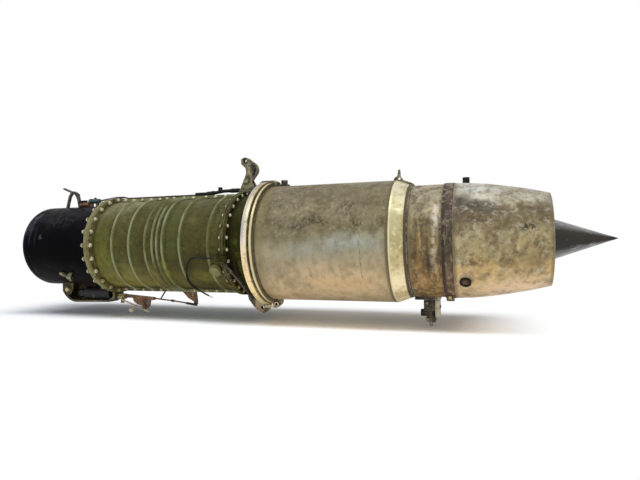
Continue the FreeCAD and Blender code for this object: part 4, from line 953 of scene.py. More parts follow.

# %% [markdown]
# The nozzle's top is bare and pale, with a painted highlight on it. A smoky band lies
# under it, then comes a mottled flank that turns tan and orange towards the belly. The
# inner cone is sooty in the middle, with painted highlights on its upper and lower flanks.

# %% Nozzle and cone
NOZZLE = weathered_with_painted_light(
    "nozzle_steel",
    # The two highest stops are a painted highlight on the nozzle's top.
    [(0.0, (222, 194, 158)), (0.10, (220, 189, 142)), (0.24, (196, 165, 106)),
     (0.40, (180, 161, 110)), (0.55, (168, 156, 118)), (0.68, (112, 98, 68)),
     (0.80, (74, 62, 42)), (0.90, (182, 178, 162)), (1.0, (244, 242, 230))],
    [
        (blotch(6.0, 0.48, 0.64), (146, 132, 94), 0.55, 0.5),
        (blotch(15.0, 0.50, 0.64, offset=(2, 2, 2)), (118, 98, 60), 0.60, 0.6),
        (blotch(13.0, 0.54, 0.66, offset=(8, 0, 2)), (180, 172, 140), 0.60, 0.5),
        (spot_mark((1.895, -0.165, 0.112), (0.130, 0.10, 0.032), 0.9, 0.9, 16.0),
         (40, 34, 24), 0.97, 0.6),
        (spot_mark((1.860, -0.150, 0.130), (0.040, 0.10, 0.036), 0.9, 0.9, 20.0),
         (38, 34, 26), 0.95, 0.6),
        (spot_mark((2.060, -0.145, 0.100), (0.130, 0.10, 0.024), 0.9, 0.9, 16.0),
         (86, 70, 46), 0.85, 0.6),
        # Painted highlights: two pale patches high on the nozzle's top.
        (spot_mark((2.075, -0.110, 0.140), (0.080, 0.10, 0.030), 0.8, 0.9, 14.0),
         (216, 212, 196), 0.65, 0.45),
        (spot_mark((1.930, -0.110, 0.170), (0.130, 0.10, 0.022), 0.8, 0.9, 12.0),
         (216, 220, 216), 0.75, 0.3),
        (spot_mark((1.925, -0.187, 0.060), (0.085, 0.08, 0.004), 1.0, 0.9, 60.0),
         (52, 42, 26), 1.0, 0.7),
        (speckled_patch((1.900, -0.187, 0.070), (0.060, 0.08, 0.022)), (62, 50, 32), 0.85, 0.7),
        (speckled_patch((2.060, -0.176, 0.041), (0.050, 0.08, 0.030)), (50, 44, 28), 1.0, 0.7),
        (speckled_patch((1.862, -0.198, 0.026), (0.026, 0.08, 0.026)), (52, 46, 40), 1.0, 0.7),
        (speckled_patch((1.860, -0.160, 0.090), (0.030, 0.08, 0.060)), (70, 44, 20), 0.9, 0.7),
        (speckled_patch((1.960, -0.190, -0.012), (0.070, 0.08, 0.034), 60.0), (110, 90, 56), 0.7, 0.6),
        (speckled_patch((1.890, -0.180, -0.070), (0.060, 0.08, 0.026), 60.0), (120, 84, 36), 0.9, 0.6),
        (spot_mark((2.090, -0.160, -0.060), (0.040, 0.08, 0.060), 0.9, 0.9, 20.0),
         (150, 122, 86), 0.45, 0.6),
        (spot_mark((2.060, -0.120, -0.150), (0.120, 0.10, 0.040), 0.9, 0.9, 20.0),
         (236, 206, 168), 0.6, 0.5),
        (blotch(32.0, 0.46, 0.68, (1, 1, 0.8), (0, 6, 0), 9.0), (92, 78, 48), 0.60, 0.6),
        (both(blotch(62.0, 0.46, 0.70, detail=9.0), upward_of(-0.16, -0.05)),
         (72, 58, 34), 0.60, 0.65),
        (blotch(50.0, 0.50, 0.72, offset=(3, 3, 3)), (210, 202, 178), 0.45, 0.5),
        (drips(50.0, 0.58, 0.72), (206, 184, 150), 0.35, 0.45),
        (station_band(1.815, 1.846, 0.006), (96, 76, 48), 0.60, 0.65),
        (station_band(2.130, 2.145, 0.004), (112, 96, 66), 0.55, 0.5),
        (corners(0.012, 1.2), (52, 40, 26), 0.8, 0.8),
        (worn(0.003, 60.0), (212, 204, 184), 0.6, 0.35),
    ],
    rough=0.48, metal=0.25, relief=(10.0, 0.0026, 220.0, 0.00028),
)
CONE = weathered_with_painted_light(
    "cone_steel",
    [(0.0, (48, 42, 36)), (0.5, (42, 37, 29)), (1.0, (50, 45, 40))],
    [
        (blotch(12.0, 0.50, 0.66, stretch=(0.2, 1, 1)), (40, 36, 32), 0.6, 0.45),
        # Painted highlights on the cone's upper and lower flanks.
        (lying_flat(0.42, 0.92), (152, 152, 150), 0.88, 0.4),
        (both(lying_flat(0.3, 0.8), blotch(70.0, 0.54, 0.64, (0.12, 1, 1))),
         (198, 198, 196), 0.55, 0.4),
        (station_band(2.325, 2.36, 0.006), (10, 8, 8), 0.97, 0.6),
        (blotch(80.0, 0.60, 0.70), (104, 96, 88), 0.4, 0.5),
    ],
    rough=0.42, metal=0.35, relief=(9.0, 0.0006, 260.0, 0.0001),
)
print("nozzle finishes ready")

# %% [markdown]
# ## Fittings
#
# Dull steel, oily castings, a brown stub, a teal union and black rubber. On pieces this
# small the same stains have to be finer, or one blotch would cover a whole fitting.

# %% Fittings' finishes
FITTING = weathered_with_painted_light(
    "fitting_steel",
    [(0.0, (124, 112, 80)), (0.5, (118, 110, 82)), (1.0, (128, 120, 92))],
    [
        (blotch(30.0, 0.42, 0.56), (58, 50, 30), 0.80, 0.7),
        (blotch(55.0, 0.54, 0.64, offset=(3, 0, 3)), (196, 188, 154), 0.65, 0.4),
        (corners(0.015, 1.3), (30, 24, 14), 0.90, 0.85),
        (worn(0.0025, 80.0), (200, 196, 172), 0.8, 0.35),
    ],
    rough=0.52, metal=0.30, relief=(40.0, 0.0015, 300.0, 0.0003),
)
IRON = weathered_with_painted_light(
    "dark_iron",
    [(0.0, (74, 66, 52)), (1.0, (66, 62, 58))],
    [
        (blotch(34.0, 0.44, 0.60), (30, 26, 22), 0.80, 0.7),
        (blotch(60.0, 0.54, 0.66, offset=(3, 0, 3)), (150, 144, 134), 0.60, 0.4),
        (corners(0.012, 1.3), (18, 15, 10), 0.90, 0.85),
        (worn(0.002, 80.0), (156, 152, 142), 0.7, 0.35),
    ],
    rough=0.50, metal=0.30, relief=(40.0, 0.0015, 300.0, 0.0003),
)
CAP = weathered_with_painted_light(
    "bare_cap",
    [(0.0, (120, 110, 58)), (0.35, (126, 118, 62)), (1.0, (132, 126, 76))],
    [
        (blotch(30.0, 0.46, 0.62), (92, 84, 38), 0.60, 0.6),
        # Dirt and painted shade round the cap's foot.
        (corners(0.012, 1.4), (20, 16, 6), 0.95, 0.85),
        (worn(0.003, 60.0), (158, 152, 100), 0.6, 0.4),
    ],
    rough=0.50, relief=(40.0, 0.0012, 300.0, 0.0003),
)
REAR_MOUNT = weathered_with_painted_light(
    "rear_mount_steel",
    [(0.0, (70, 62, 44)), (0.02, (92, 68, 48)), (1.0, (84, 62, 44))],
    [
        (blotch(34.0, 0.44, 0.58), (18, 15, 12), 0.80, 0.7),
        (blotch(60.0, 0.56, 0.68, offset=(3, 0, 3)), (140, 128, 98), 0.45, 0.55),
        (both(rearward(1.7595, 1.7620), blotch(26.0, 0.36, 0.56)), (206, 194, 160), 0.85, 0.45),
        # Painted highlight: the pale tip of the spigot.
        (both(upward_of(-0.284, -0.294), blotch(40.0, 0.34, 0.54)),
         (204, 198, 178), 0.85, 0.45),
        # Painted shadow: the front of the fitting darkened to near black.
        (rearward(1.7275, 1.7215), (10, 9, 8), 0.70, 0.7),
        (corners(0.014, 1.2), (12, 10, 8), 0.90, 0.8),
        (worn(0.0020, 80.0), (170, 158, 124), 0.55, 0.45),
    ],
    rough=0.48, metal=0.20, relief=(40.0, 0.0015, 260.0, 0.0003),
)
MOUNT = weathered_with_painted_light(
    "mount_steel",
    [(0.0, (168, 148, 120)), (0.2, (160, 138, 106)), (0.8, (112, 106, 74)),
     (1.0, (134, 128, 96))],
    [
        (blotch(28.0, 0.44, 0.56), (64, 56, 34), 0.80, 0.7),
        (blotch(50.0, 0.54, 0.64, offset=(1, 4, 3)), (186, 180, 146), 0.65, 0.4),
        (blotch(90.0, 0.58, 0.66), (34, 28, 18), 0.70, 0.8),
        (speckled_patch((1.080, -0.031, -0.263), (0.010, 0.008, 0.008), 80.0), (150, 82, 52), 0.85, 0.7),
        # Painted shade: the dark patch round the link's open eye.
        (speckled_patch((1.013, -0.0105, 0.331), (0.013, 0.030, 0.013), 80.0), (26, 22, 18), 0.85, 0.75),
        (speckled_patch((1.030, -0.0105, 0.300), (0.012, 0.008, 0.050), 70.0),
         (188, 180, 150), 0.75, 0.5),
        (speckled_patch((1.060, -0.0105, 0.300), (0.012, 0.012, 0.040), 60.0), (40, 32, 20), 0.85, 0.7),
        (spot_mark((1.056, -0.026, 0.225), (0.007, 0.010, 0.006), 0.5, 0.5),
         (16, 12, 8), 0.95, 0.8),
        (speckled_patch((1.050, -0.026, 0.205), (0.040, 0.012, 0.012), 60.0), (66, 66, 32), 0.75, 0.7),
        (both(station_band(0.985, 1.064, 0.002), upward_of(0.228, 0.200)),
         (44, 46, 20), 0.75, 0.7),
        (corners(0.018, 1.4), (26, 22, 12), 0.92, 0.85),
        (worn(0.003, 70.0), (196, 188, 156), 0.7, 0.4),
    ],
    rough=0.52, metal=0.25, relief=(40.0, 0.0015, 300.0, 0.0004),
)
OILY = weathered_with_painted_light(
    "oily_casting",
    [(0.0, (50, 44, 30)), (0.5, (36, 32, 26)), (1.0, (30, 28, 24))],
    [
        (blotch(26.0, 0.46, 0.58), (100, 88, 56), 0.70, 0.6),
        (blotch(60.0, 0.56, 0.66, offset=(3, 0, 3)), (164, 154, 116), 0.55, 0.45),
        (corners(0.02, 1.2), (12, 10, 8), 0.92, 0.8),
        (worn(0.0025, 80.0), (188, 178, 144), 0.9, 0.35),
    ],
    rough=0.48, metal=0.15, relief=(40.0, 0.0015, 260.0, 0.0003), specular=0.25,
)
PUMP = weathered_with_painted_light(
    "dark_blue_pump",
    [(0.0, (30, 28, 28)), (0.5, (18, 20, 28)), (1.0, (14, 16, 24))],
    [
        (blotch(24.0, 0.48, 0.62), (34, 36, 48), 0.6, 0.4),
        (blotch(40.0, 0.58, 0.68, offset=(3, 0, 3)), (126, 104, 84), 0.6, 0.6),
        (speckled_patch((0.150, -0.045, -0.212), (0.018, 0.05, 0.020), 60.0), (112, 84, 66), 0.8, 0.7),
        (corners(0.02, 1.2), (8, 8, 10), 0.9, 0.8),
        (worn(0.002, 80.0), (120, 112, 100), 0.6, 0.4),
    ],
    rough=0.44, relief=(40.0, 0.0015, 260.0, 0.0003), specular=0.25,
)
LINKAGE = weathered_with_painted_light(
    "pale_linkage",
    [(0.0, (210, 194, 164)), (1.0, (176, 158, 128))],
    [
        (blotch(44.0, 0.48, 0.62), (136, 112, 92), 0.6, 0.6),
        (blotch(90.0, 0.56, 0.68, offset=(3, 0, 3)), (70, 56, 42), 0.55, 0.7),
        (corners(0.008, 1.0), (50, 40, 28), 0.7, 0.8),
        (worn(0.002, 90.0), (232, 226, 206), 0.6, 0.35),
    ],
    rough=0.46, metal=0.25, relief=(60.0, 0.0006, 400.0, 0.0002),
)
RUSTY = weathered_with_painted_light(
    "rusty_link",
    [(0.0, (120, 88, 58)), (1.0, (104, 78, 52))],
    [
        (blotch(34.0, 0.46, 0.58), (66, 46, 30), 0.75, 0.7),
        (blotch(64.0, 0.56, 0.66, offset=(3, 0, 3)), (190, 158, 128), 0.60, 0.45),
        (corners(0.012, 1.2), (26, 18, 12), 0.90, 0.8),
        (worn(0.0025, 80.0), (188, 170, 140), 0.7, 0.35),
    ],
    rough=0.56, metal=0.20, relief=(40.0, 0.0015, 260.0, 0.0003),
)
PIPE_RUST = weathered_with_painted_light(
    "rusty_pipe",
    [(0.0, (112, 80, 56)), (1.0, (98, 72, 52))],
    [
        (blotch(40.0, 0.46, 0.60), (62, 44, 32), 0.75, 0.7),
        (blotch(80.0, 0.56, 0.66, offset=(3, 0, 3)), (168, 136, 106), 0.55, 0.5),
        (station_band(0.660, 0.678, 0.001), (40, 30, 30), 0.85, 0.6),
        (rearward(0.733, 0.735), (18, 16, 15), 0.90, 0.6),
        (both(station_band(0.600, 0.632, 0.002), upward_of(-0.231, -0.228)),
         (52, 50, 48), 0.85, 0.6),
        (worn(0.0015, 90.0), (160, 138, 112), 0.5, 0.4),
    ],
    rough=0.56, metal=0.20, relief=(60.0, 0.0006, 300.0, 0.0003),
)
BROWN = weathered_with_painted_light(
    "brown_stub",
    [(0.0, (92, 62, 40)), (1.0, (116, 84, 56))],
    [
        (blotch(60.0, 0.48, 0.62), (58, 40, 28), 0.7, 0.6),
        (worn(0.002, 90.0), (186, 150, 108), 0.7, 0.3),
    ],
    rough=0.45, metal=0.4,
)
TEAL = weathered_with_painted_light(
    "teal_union",
    [(0.0, (36, 52, 54)), (1.0, (54, 80, 84))],
    [
        (blotch(60.0, 0.50, 0.64), (28, 32, 32), 0.7, 0.6),
        (worn(0.002, 90.0), (140, 152, 150), 0.7, 0.3),
    ],
    rough=0.42, metal=0.3,
)
PALE_GREEN = weathered_with_painted_light(
    "pale_green_union",
    [(0.0, (170, 162, 112)), (1.0, (198, 192, 140))],
    [
        (blotch(50.0, 0.46, 0.60), (104, 92, 56), 0.75, 0.6),
        (upward_of(-0.232, -0.238), (84, 70, 48), 0.7, 0.6),
        (corners(0.010, 1.2), (40, 32, 16), 0.85, 0.8),
        (worn(0.002, 90.0), (226, 224, 180), 0.7, 0.3),
    ],
    rough=0.45, metal=0.2,
)
RUBBER = weathered_with_painted_light(
    "black_rubber",
    [(0.0, (16, 16, 14)), (1.0, (24, 25, 20))],
    [
        (blotch(50.0, 0.50, 0.66), (36, 36, 28), 0.5, 0.8),
        (corners(0.01, 0.8), (8, 8, 8), 0.7, 0.9),
    ],
    rough=0.62, relief=(9.0, 0.0004, 500.0, 0.0002), specular=0.2,
)
INNER = weathered_with_painted_light(
    "inner_steel",
    [(0.0, (116, 110, 100)), (1.0, (136, 132, 124))],
    [
        (blotch(20.0, 0.50, 0.66), (84, 76, 64), 0.6, 0.55),
        (worn(0.002, 90.0), (188, 184, 176), 0.6, 0.3),
    ],
    rough=0.42, metal=0.6,
)
print("fittings' finishes ready")

# %% [markdown]
# ## Pieces built in mesh code
#
# Each small fitting below is one mesh made of a few closed shells. Four builders cover
# all of them: a block in any direction, a turned shape from its profile, a round bar
# that follows a line, and a ring with a hole. `finish_piece` makes the object, rounds
# its edges with a Bevel modifier and lets it ride on a body. `build` does all of it from
# a list of builders with their measures, so a fitting reads like a parts list.

# %% Builders
NEAR, FAR, UP, DOWN, REARWARD = (0, -1, 0), (0, 1, 0), (0, 0, 1), (0, 0, -1), (1, 0, 0)
BEVEL_LIMIT = math.radians(40)


def frame_along(direction, hint=UP):
    """Three axes, the first one along direction."""
    first = Vector(direction).normalized()
    second = Vector(hint)
    if abs(first.dot(second.normalized())) > 0.95:
        second = Vector(FAR)
    third = first.cross(second).normalized()
    return first, third.cross(first).normalized(), third


def add_circle(mesh, middle, second, third, radius, sides):
    """Vertices of one circle in the plane of two axes."""
    circle = []
    for step in range(sides):
        turn = 2 * math.pi * step / sides
        out = second * math.cos(turn) + third * math.sin(turn)
        circle.append(mesh.verts.new(middle + out * radius))
    return circle


def join_rings(mesh, rings):
    """Faces between neighbouring rings. A ring of one vertex closes the shape."""
    for lower, upper in zip(rings, rings[1:]):
        count = max(len(lower), len(upper))
        for here in range(count):
            after = (here + 1) % count
            if len(lower) == 1:
                mesh.faces.new((lower[0], upper[after], upper[here]))
            elif len(upper) == 1:
                mesh.faces.new((lower[here], lower[after], upper[0]))
            else:
                mesh.faces.new((lower[here], lower[after], upper[after], upper[here]))


def add_block(mesh, centre, size, along=REARWARD, hint=UP, taper=1.0):
    """Closed block. size runs along its own three axes, taper narrows its far end."""
    first, second, third = frame_along(along, hint)
    ends = []
    for end in (-0.5, 0.5):
        narrow = taper if end > 0 else 1.0
        for up, side in ((-0.5, -0.5), (0.5, -0.5), (0.5, 0.5), (-0.5, 0.5)):
            shift = first * end * size[0]
            shift += (second * up * size[1] + third * side * size[2]) * narrow
            ends.append(mesh.verts.new(Vector(centre) + shift))
    mesh.faces.new(ends[0:4])
    mesh.faces.new(ends[7:3:-1])
    for here in range(4):
        after = (here + 1) % 4
        mesh.faces.new((ends[after], ends[here], ends[here + 4], ends[after + 4]))


def add_turned(mesh, base, along, profile, sides=16):
    """Closed turned shape. profile is (distance along, radius), starting and ending at 0."""
    first, second, third = frame_along(along)
    rings = []
    for reach, radius in profile:
        middle = Vector(base) + first * reach
        if radius == 0:
            rings.append([mesh.verts.new(middle)])
        else:
            rings.append(add_circle(mesh, middle, second, third, radius, sides))
    join_rings(mesh, rings)


def add_ring(mesh, base, along, loop, sides=20):
    """Closed ring round an axis. loop lists its section as (distance along, radius)."""
    first, second, third = frame_along(along)
    rings = []
    for reach, radius in loop:
        middle = Vector(base) + first * reach
        rings.append(add_circle(mesh, middle, second, third, radius, sides))
    join_rings(mesh, rings + rings[:1])


def add_rod(mesh, places, radius, sides=10):
    """Round bar along a line of places, with closed ends. radius may be one per place."""
    radii = radius if isinstance(radius, list) else [radius] * len(places)
    places = [Vector(place) for place in places]
    heading = (places[1] - places[0]).normalized()
    side = frame_along(heading)[1]
    rings = [[mesh.verts.new(places[0])]]
    for index, place in enumerate(places):
        before = places[max(index - 1, 0)]
        after = places[min(index + 1, len(places) - 1)]
        heading = (after - before).normalized()
        side = (side - heading * side.dot(heading)).normalized()
        rings.append(add_circle(mesh, place, side, heading.cross(side), radii[index], sides))
    rings.append([mesh.verts.new(places[-1])])
    join_rings(mesh, rings)


def add_head(mesh, base, along, corner, height):
    """Bolt head: a hexagon with a chamfered crown."""
    profile = [(0, 0), (0, corner), (height * 0.75, corner), (height, corner * 0.8), (height, 0)]
    add_turned(mesh, base, along, profile, 6)


def finish_piece(name, mesh, finish, body="engine", round_off=0.0, smooth=True):
    """Object from a bmesh: normals outwards, rounded edges, finish, ride."""
    bmesh.ops.recalc_face_normals(mesh, faces=mesh.faces)
    data = bpy.data.meshes.new(name)
    mesh.to_mesh(data)
    mesh.free()
    for face in data.polygons:
        face.use_smooth = smooth
    data.materials.append(finish)
    piece = into_scene(name, data)
    if round_off:
        bevel = piece.modifiers.new("rounded_edges", "BEVEL")
        bevel.width = round_off
        bevel.segments = 2
        bevel.limit_method = "ANGLE"
        bevel.angle_limit = BEVEL_LIMIT
        bevel.harden_normals = True
    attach(piece, body)
    return piece


def build(name, finish, shells, **options):
    """One piece from a list of shells, each a builder followed by its measures."""
    mesh = bmesh.new()
    for builder, *measures in shells:
        builder(mesh, *measures)
    return finish_piece(name, mesh, finish, **options)


def on_skin(station, angle, radius):
    """Place on the near side of the engine. angle is degrees below the level, on -Y."""
    turn = math.radians(angle)
    return Vector((station, -radius * math.cos(turn), -radius * math.sin(turn)))


def skin_axes(angle):
    """Outward direction on the skin, and the one that runs round the engine."""
    return on_skin(0, angle, 1.0), on_skin(0, angle + 90, 1.0)


print("builders ready")

# %% [markdown]
# ## The lead's sleeve and core, and its finish
#
# Sleeve and core are round bars along the lead's own points. A second bevelled curve
# would do as well, but a bar can swell in its middle and close its ends.

# %% Lead sleeve and core
SLEEVE_FROM, SLEEVE_TO = 0.60, 0.90
SLEEVE_RADIUS, SLEEVE_END_RADIUS = 0.0044, 0.0034
CORE_RADIUS, CORE_INSIDE, CORE_OUTSIDE = 0.0016, 0.004, 0.017

first_point = int(SLEEVE_FROM * (len(lead_points) - 1))
last_point = int(SLEEVE_TO * (len(lead_points) - 1))
sleeve_line = lead_points[first_point:last_point]
swell = [SLEEVE_RADIUS] * len(sleeve_line)
swell[0] = swell[-1] = SLEEVE_END_RADIUS
lead_sleeve = build("lead_sleeve", RUBBER, [(add_rod, sleeve_line, swell, 14)])

tail = (lead_points[-1] - lead_points[-2]).normalized()
core_line = [lead_points[-1] - tail * CORE_INSIDE, lead_points[-1] + tail * CORE_OUTSIDE]
lead_core = build("lead_core", NUTS, [(add_rod, core_line, CORE_RADIUS, 10)])

lead.data.materials.append(RUBBER)
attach(lead, "engine")
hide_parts("igniter_lead")

# %% [markdown]
# ## Nuts and bolts by Geometry Nodes
#
# The engine carries over a hundred and fifty nuts of three sizes. They repeat by a rule,
# a ring or a row at known places, so a node tree grows them. The first group makes one
# fastener: washer, hexagon, chamfered crown and the bolt's end. It stands on Z = 0.

# %% Group: one nut
NUT_SIZES = [("Corner", FLOAT, 0.007), ("Height", FLOAT, 0.009), ("Washer", FLOAT, 0.0012)]


def grower(name, inputs):
    """Empty Geometry Nodes tree that gives out one mesh."""
    return new_group(name, "GeometryNodeTree", inputs, ("Mesh", GEOMETRY))


def make_nut():
    group, given, give = grower("nut_with_washer", NUT_SIZES)

    def raised(solid, height):
        moved = {"Geometry": solid, "Translation": joined(group, Z=height)}
        return add(group, "GeometryNodeTransform", moved)[0]

    def prism(sides, wide, low, high):
        sizes = {"Vertices": sides, "Radius": wide, "Depth": minus(group, high, low)}
        body = add(group, "GeometryNodeMeshCylinder", sizes, fill_type="NGON")["Mesh"]
        return raised(body, calc(group, "DIVIDE", plus(group, high, low), 2.0))

    corner, height = given["Corner"], given["Height"]
    shoulder = times(group, height, 0.66)
    crown = times(group, height, 0.80)
    washer = prism(14, times(group, corner, 1.22), 0.0, given["Washer"])
    hexagon = prism(6, corner, given["Washer"], shoulder)
    stud = prism(8, times(group, corner, 0.46), crown, height)
    sizes = {
        "Vertices": 6,
        "Radius Top": times(group, corner, 0.80),
        "Radius Bottom": corner,
        "Depth": minus(group, crown, shoulder),
    }
    chamfer = add(group, "GeometryNodeMeshCone", sizes, fill_type="NGON")["Mesh"]
    whole = group.nodes.new("GeometryNodeJoinGeometry")
    for part in (washer, hexagon, raised(chamfer, shoulder), stud):
        group.links.new(part, whole.inputs[0])
    return give(whole.outputs[0])


NUT = make_nut()

# %% [markdown]
# A ring of them: points from a count, a circle and a first angle, a nut on each point,
# and a small roll of each nut about its own axis, because no two were tightened to the
# same angle. The seed is fixed. Instances are made real at the end, since an export
# would drop them.

# %% Tree: ring of nuts
NUT_INPUTS = [*NUT_SIZES, ("Finish", MATERIAL, None), ("Seed", COUNT, 1)]
LARGEST_ROLL = 1.05


def real_and_painted(group, instances, finish):
    """Instances made real, with their finish."""
    real = add(group, "GeometryNodeRealizeInstances", {0: instances})[0]
    return add(group, "GeometryNodeSetMaterial", {"Geometry": real, "Material": finish})[0]


def copies(group, places, solid, turn):
    """One copy of the solid on each place."""
    sockets = {"Points": places, "Instance": solid, "Rotation": turn}
    return add(group, "GeometryNodeInstanceOnPoints", sockets)[0]


def place_nuts(group, given, places, turn):
    """A rolled nut on each place, made real, with its finish."""
    nut = use_group(group, NUT, {name: given[name] for name, _, _ in NUT_SIZES})["Mesh"]
    put = copies(group, places, nut, turn)
    limits = {2: 0.0, 3: LARGEST_ROLL, "Seed": given["Seed"]}
    roll = joined(group, Z=add(group, "FunctionNodeRandomValue", limits)[1])
    sockets = {"Instances": put, "Rotation": roll, "Local Space": True}
    rolled = add(group, "GeometryNodeRotateInstances", sockets)[0]
    return real_and_painted(group, rolled, given["Finish"])


def make_nut_ring():
    inputs = [
        ("Count", COUNT, 22),
        ("Circle", FLOAT, 0.197),
        ("Station", FLOAT, 0.404),
        ("First Angle", FLOAT, 0.0),
        ("Facing", FLOAT, 1.0),
        *NUT_INPUTS,
    ]
    group, given, give = grower("ring_of_nuts", inputs)
    index = add(group, "GeometryNodeInputIndex")[0]
    pitch = calc(group, "DIVIDE", 2 * math.pi, given["Count"])
    angle = plus(group, times(group, index, pitch), given["First Angle"])
    sideways = times(group, calc(group, "SINE", angle), given["Circle"])
    height = times(group, calc(group, "COSINE", angle), given["Circle"])
    place = joined(group, X=given["Station"], Y=times(group, sideways, -1.0), Z=height)
    points = add(group, "GeometryNodePoints", {"Count": given["Count"], "Position": place})[0]
    turn = joined(group, Y=times(group, given["Facing"], math.pi / 2))
    return give(place_nuts(group, given, points, turn))


NUT_RING = make_nut_ring()

# %% [markdown]
# The long joints have uneven pitches, so their rows read places from a mesh of bare
# points. The side of the joint on which a point lies tells which way its nut looks.

# %% Tree: nuts on given points
def make_nut_rows():
    inputs = [("Places", GEOMETRY, None), *NUT_INPUTS]
    group, given, give = grower("nuts_on_points", inputs)
    side = split(group, add(group, "GeometryNodeInputPosition")[0])["Y"]
    turn = joined(group, X=times(group, calc(group, "SIGN", side), -math.pi / 2))
    points = add(group, "GeometryNodeMeshToPoints", {"Mesh": given["Places"]})[0]
    return give(place_nuts(group, given, points, turn))


NUT_ROWS = make_nut_rows()

# %% [markdown]
# `grown` puts a tree on a carrier object, fills the named inputs by their identifiers,
# and takes the evaluated result as a plain mesh. The carrier and its modifier go away.

# %% From a tree to a mesh
def grown(tree, values, places=()):
    """Plain mesh that a Geometry Nodes tree grows from its named inputs."""
    data = bpy.data.meshes.new("carrier")
    data.from_pydata(list(places), [], [])
    carrier = into_scene("carrier", data)
    modifier = carrier.modifiers.new("grow", "NODES")
    modifier.node_group = tree
    for item in tree.interface.items_tree:
        if item.in_out == "INPUT" and item.name in values:
            modifier[item.identifier] = values[item.name]
    mesh = plain_mesh(carrier)
    bpy.data.objects.remove(carrier)
    return mesh


def piece_of(name, meshes, finish, body="engine", node=None):
    """One piece from several meshes, riding on a body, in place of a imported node."""
    whole = bmesh.new()
    for mesh in meshes:
        whole.from_mesh(mesh)
        bpy.data.meshes.remove(mesh)
    for face in whole.faces:
        face.material_index = 0
    piece = finish_piece(name, whole, finish, body, smooth=False)
    if node:
        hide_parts(node)
    return piece


def nut_rings(common, rows):
    """Rings of nuts that share their common values and differ in those of each row."""
    return [grown(NUT_RING, {**common, "Finish": NUTS, **row}) for row in rows]


front_nut = {
    "Count": 22, "Circle": 0.197, "First Angle": math.radians(8.0), "Corner": 0.0080,
    "Height": 0.009,
}
front_rings = nut_rings(
    front_nut,
    [
        {"Station": 0.380, "Facing": -1.0, "Corner": 0.0046, "Height": 0.012, "Seed": 2},
        {"Station": 0.370, "Facing": -1.0, "Seed": 3},
        {"Station": 0.404, "Facing": 1.0, "Seed": 4},
    ],
)
piece_of("front_flange_nuts", front_rings, NUTS, node="front_flange_bolts")

rear_nut = {
    "Count": 28, "Circle": 0.1975, "First Angle": math.radians(6.4), "Corner": 0.0064,
    "Height": 0.008,
}
rear_rings = nut_rings(
    rear_nut,
    [
        {"Station": 1.005, "Facing": -1.0, "Seed": 5},
        {"Station": 1.029, "Facing": 1.0, "Height": 0.006, "Seed": 6},
    ],
)
piece_of("rear_flange_nuts", rear_rings, NUTS, node="rear_flange_bolts")

JOINT_STATIONS = (
    0.430, 0.475, 0.520, 0.565, 0.610, 0.645, 0.680, 0.730, 0.775, 0.835, 0.880, 0.925, 0.970
)
JOINT_HEIGHT, JOINT_FACE = 0.1935, 0.009
joint_places = [
    (station, side * JOINT_FACE, height)
    for side in (-1, 1)
    for height in (-JOINT_HEIGHT, JOINT_HEIGHT)
    for station in JOINT_STATIONS
]
joint_nut = {"Corner": 0.0062, "Height": 0.007, "Finish": NUTS, "Seed": 7}
joint_rows = [grown(NUT_ROWS, joint_nut, joint_places)]
piece_of("joint_nuts", joint_rows, NUTS, node="split_flange_bolts")
nut_counts = (2 * front_nut["Count"], 2 * rear_nut["Count"], len(joint_places))
print("nuts on the front flange, the rear flange and the joints:", nut_counts)

# %% [markdown]
# ## Spot welds
#
# A dotted line runs down the burner casing where an inner baffle was spot-welded to it.
# Each weld is a small, nearly flat button, placed by the same kind of rule along an arc.

# %% Tree: welds along an arc
def make_weld_line():
    inputs = [
        ("Count", COUNT, 28),
        ("Station", FLOAT, 1.538),
        ("Skin", FLOAT, 0.222),
        ("First Angle", FLOAT, -0.18),
        ("Last Angle", FLOAT, 0.58),
        ("Size", FLOAT, 0.0018),
        ("Finish", MATERIAL, None),
    ]
    group, given, give = grower("weld_line", inputs)
    index = add(group, "GeometryNodeInputIndex")[0]
    share = calc(group, "DIVIDE", index, minus(group, given["Count"], 1.0))
    sweep = minus(group, given["Last Angle"], given["First Angle"])
    angle = plus(group, given["First Angle"], times(group, share, sweep))
    out = times(group, calc(group, "COSINE", angle), given["Skin"])
    down = times(group, calc(group, "SINE", angle), given["Skin"])
    y, z = times(group, out, -1.0), times(group, down, -1.0)
    place = joined(group, X=given["Station"], Y=y, Z=z)
    points = add(group, "GeometryNodePoints", {"Count": given["Count"], "Position": place})[0]
    sizes = {"Segments": 8, "Rings": 5, "Radius": given["Size"]}
    ball = add(group, "GeometryNodeMeshUVSphere", sizes)["Mesh"]
    squeezed = {"Geometry": ball, "Scale": (1.0, 1.0, 0.45)}
    flat = add(group, "GeometryNodeTransform", squeezed)[0]
    turn = joined(group, X=plus(group, angle, math.pi / 2))
    return give(real_and_painted(group, copies(group, points, flat, turn), given["Finish"]))


WELD_LINE = make_weld_line()
piece_of("baffle_welds", [grown(WELD_LINE, {"Finish": FITTING})], FITTING)
print("welds placed")

# %% [markdown]
# ## Turbine blades by Geometry Nodes
#
# The turbine's blades are the main piece whose shape follows a rule. A closed cylinder
# is bent into an aerofoil: its angle gives the place along the chord and the side, its
# height the reach from root to tip. Each blade twists towards the tip, and a ring of
# copies goes round the disc. A ready blade could be copied by hand too, but here one
# changed input reshapes the whole row.

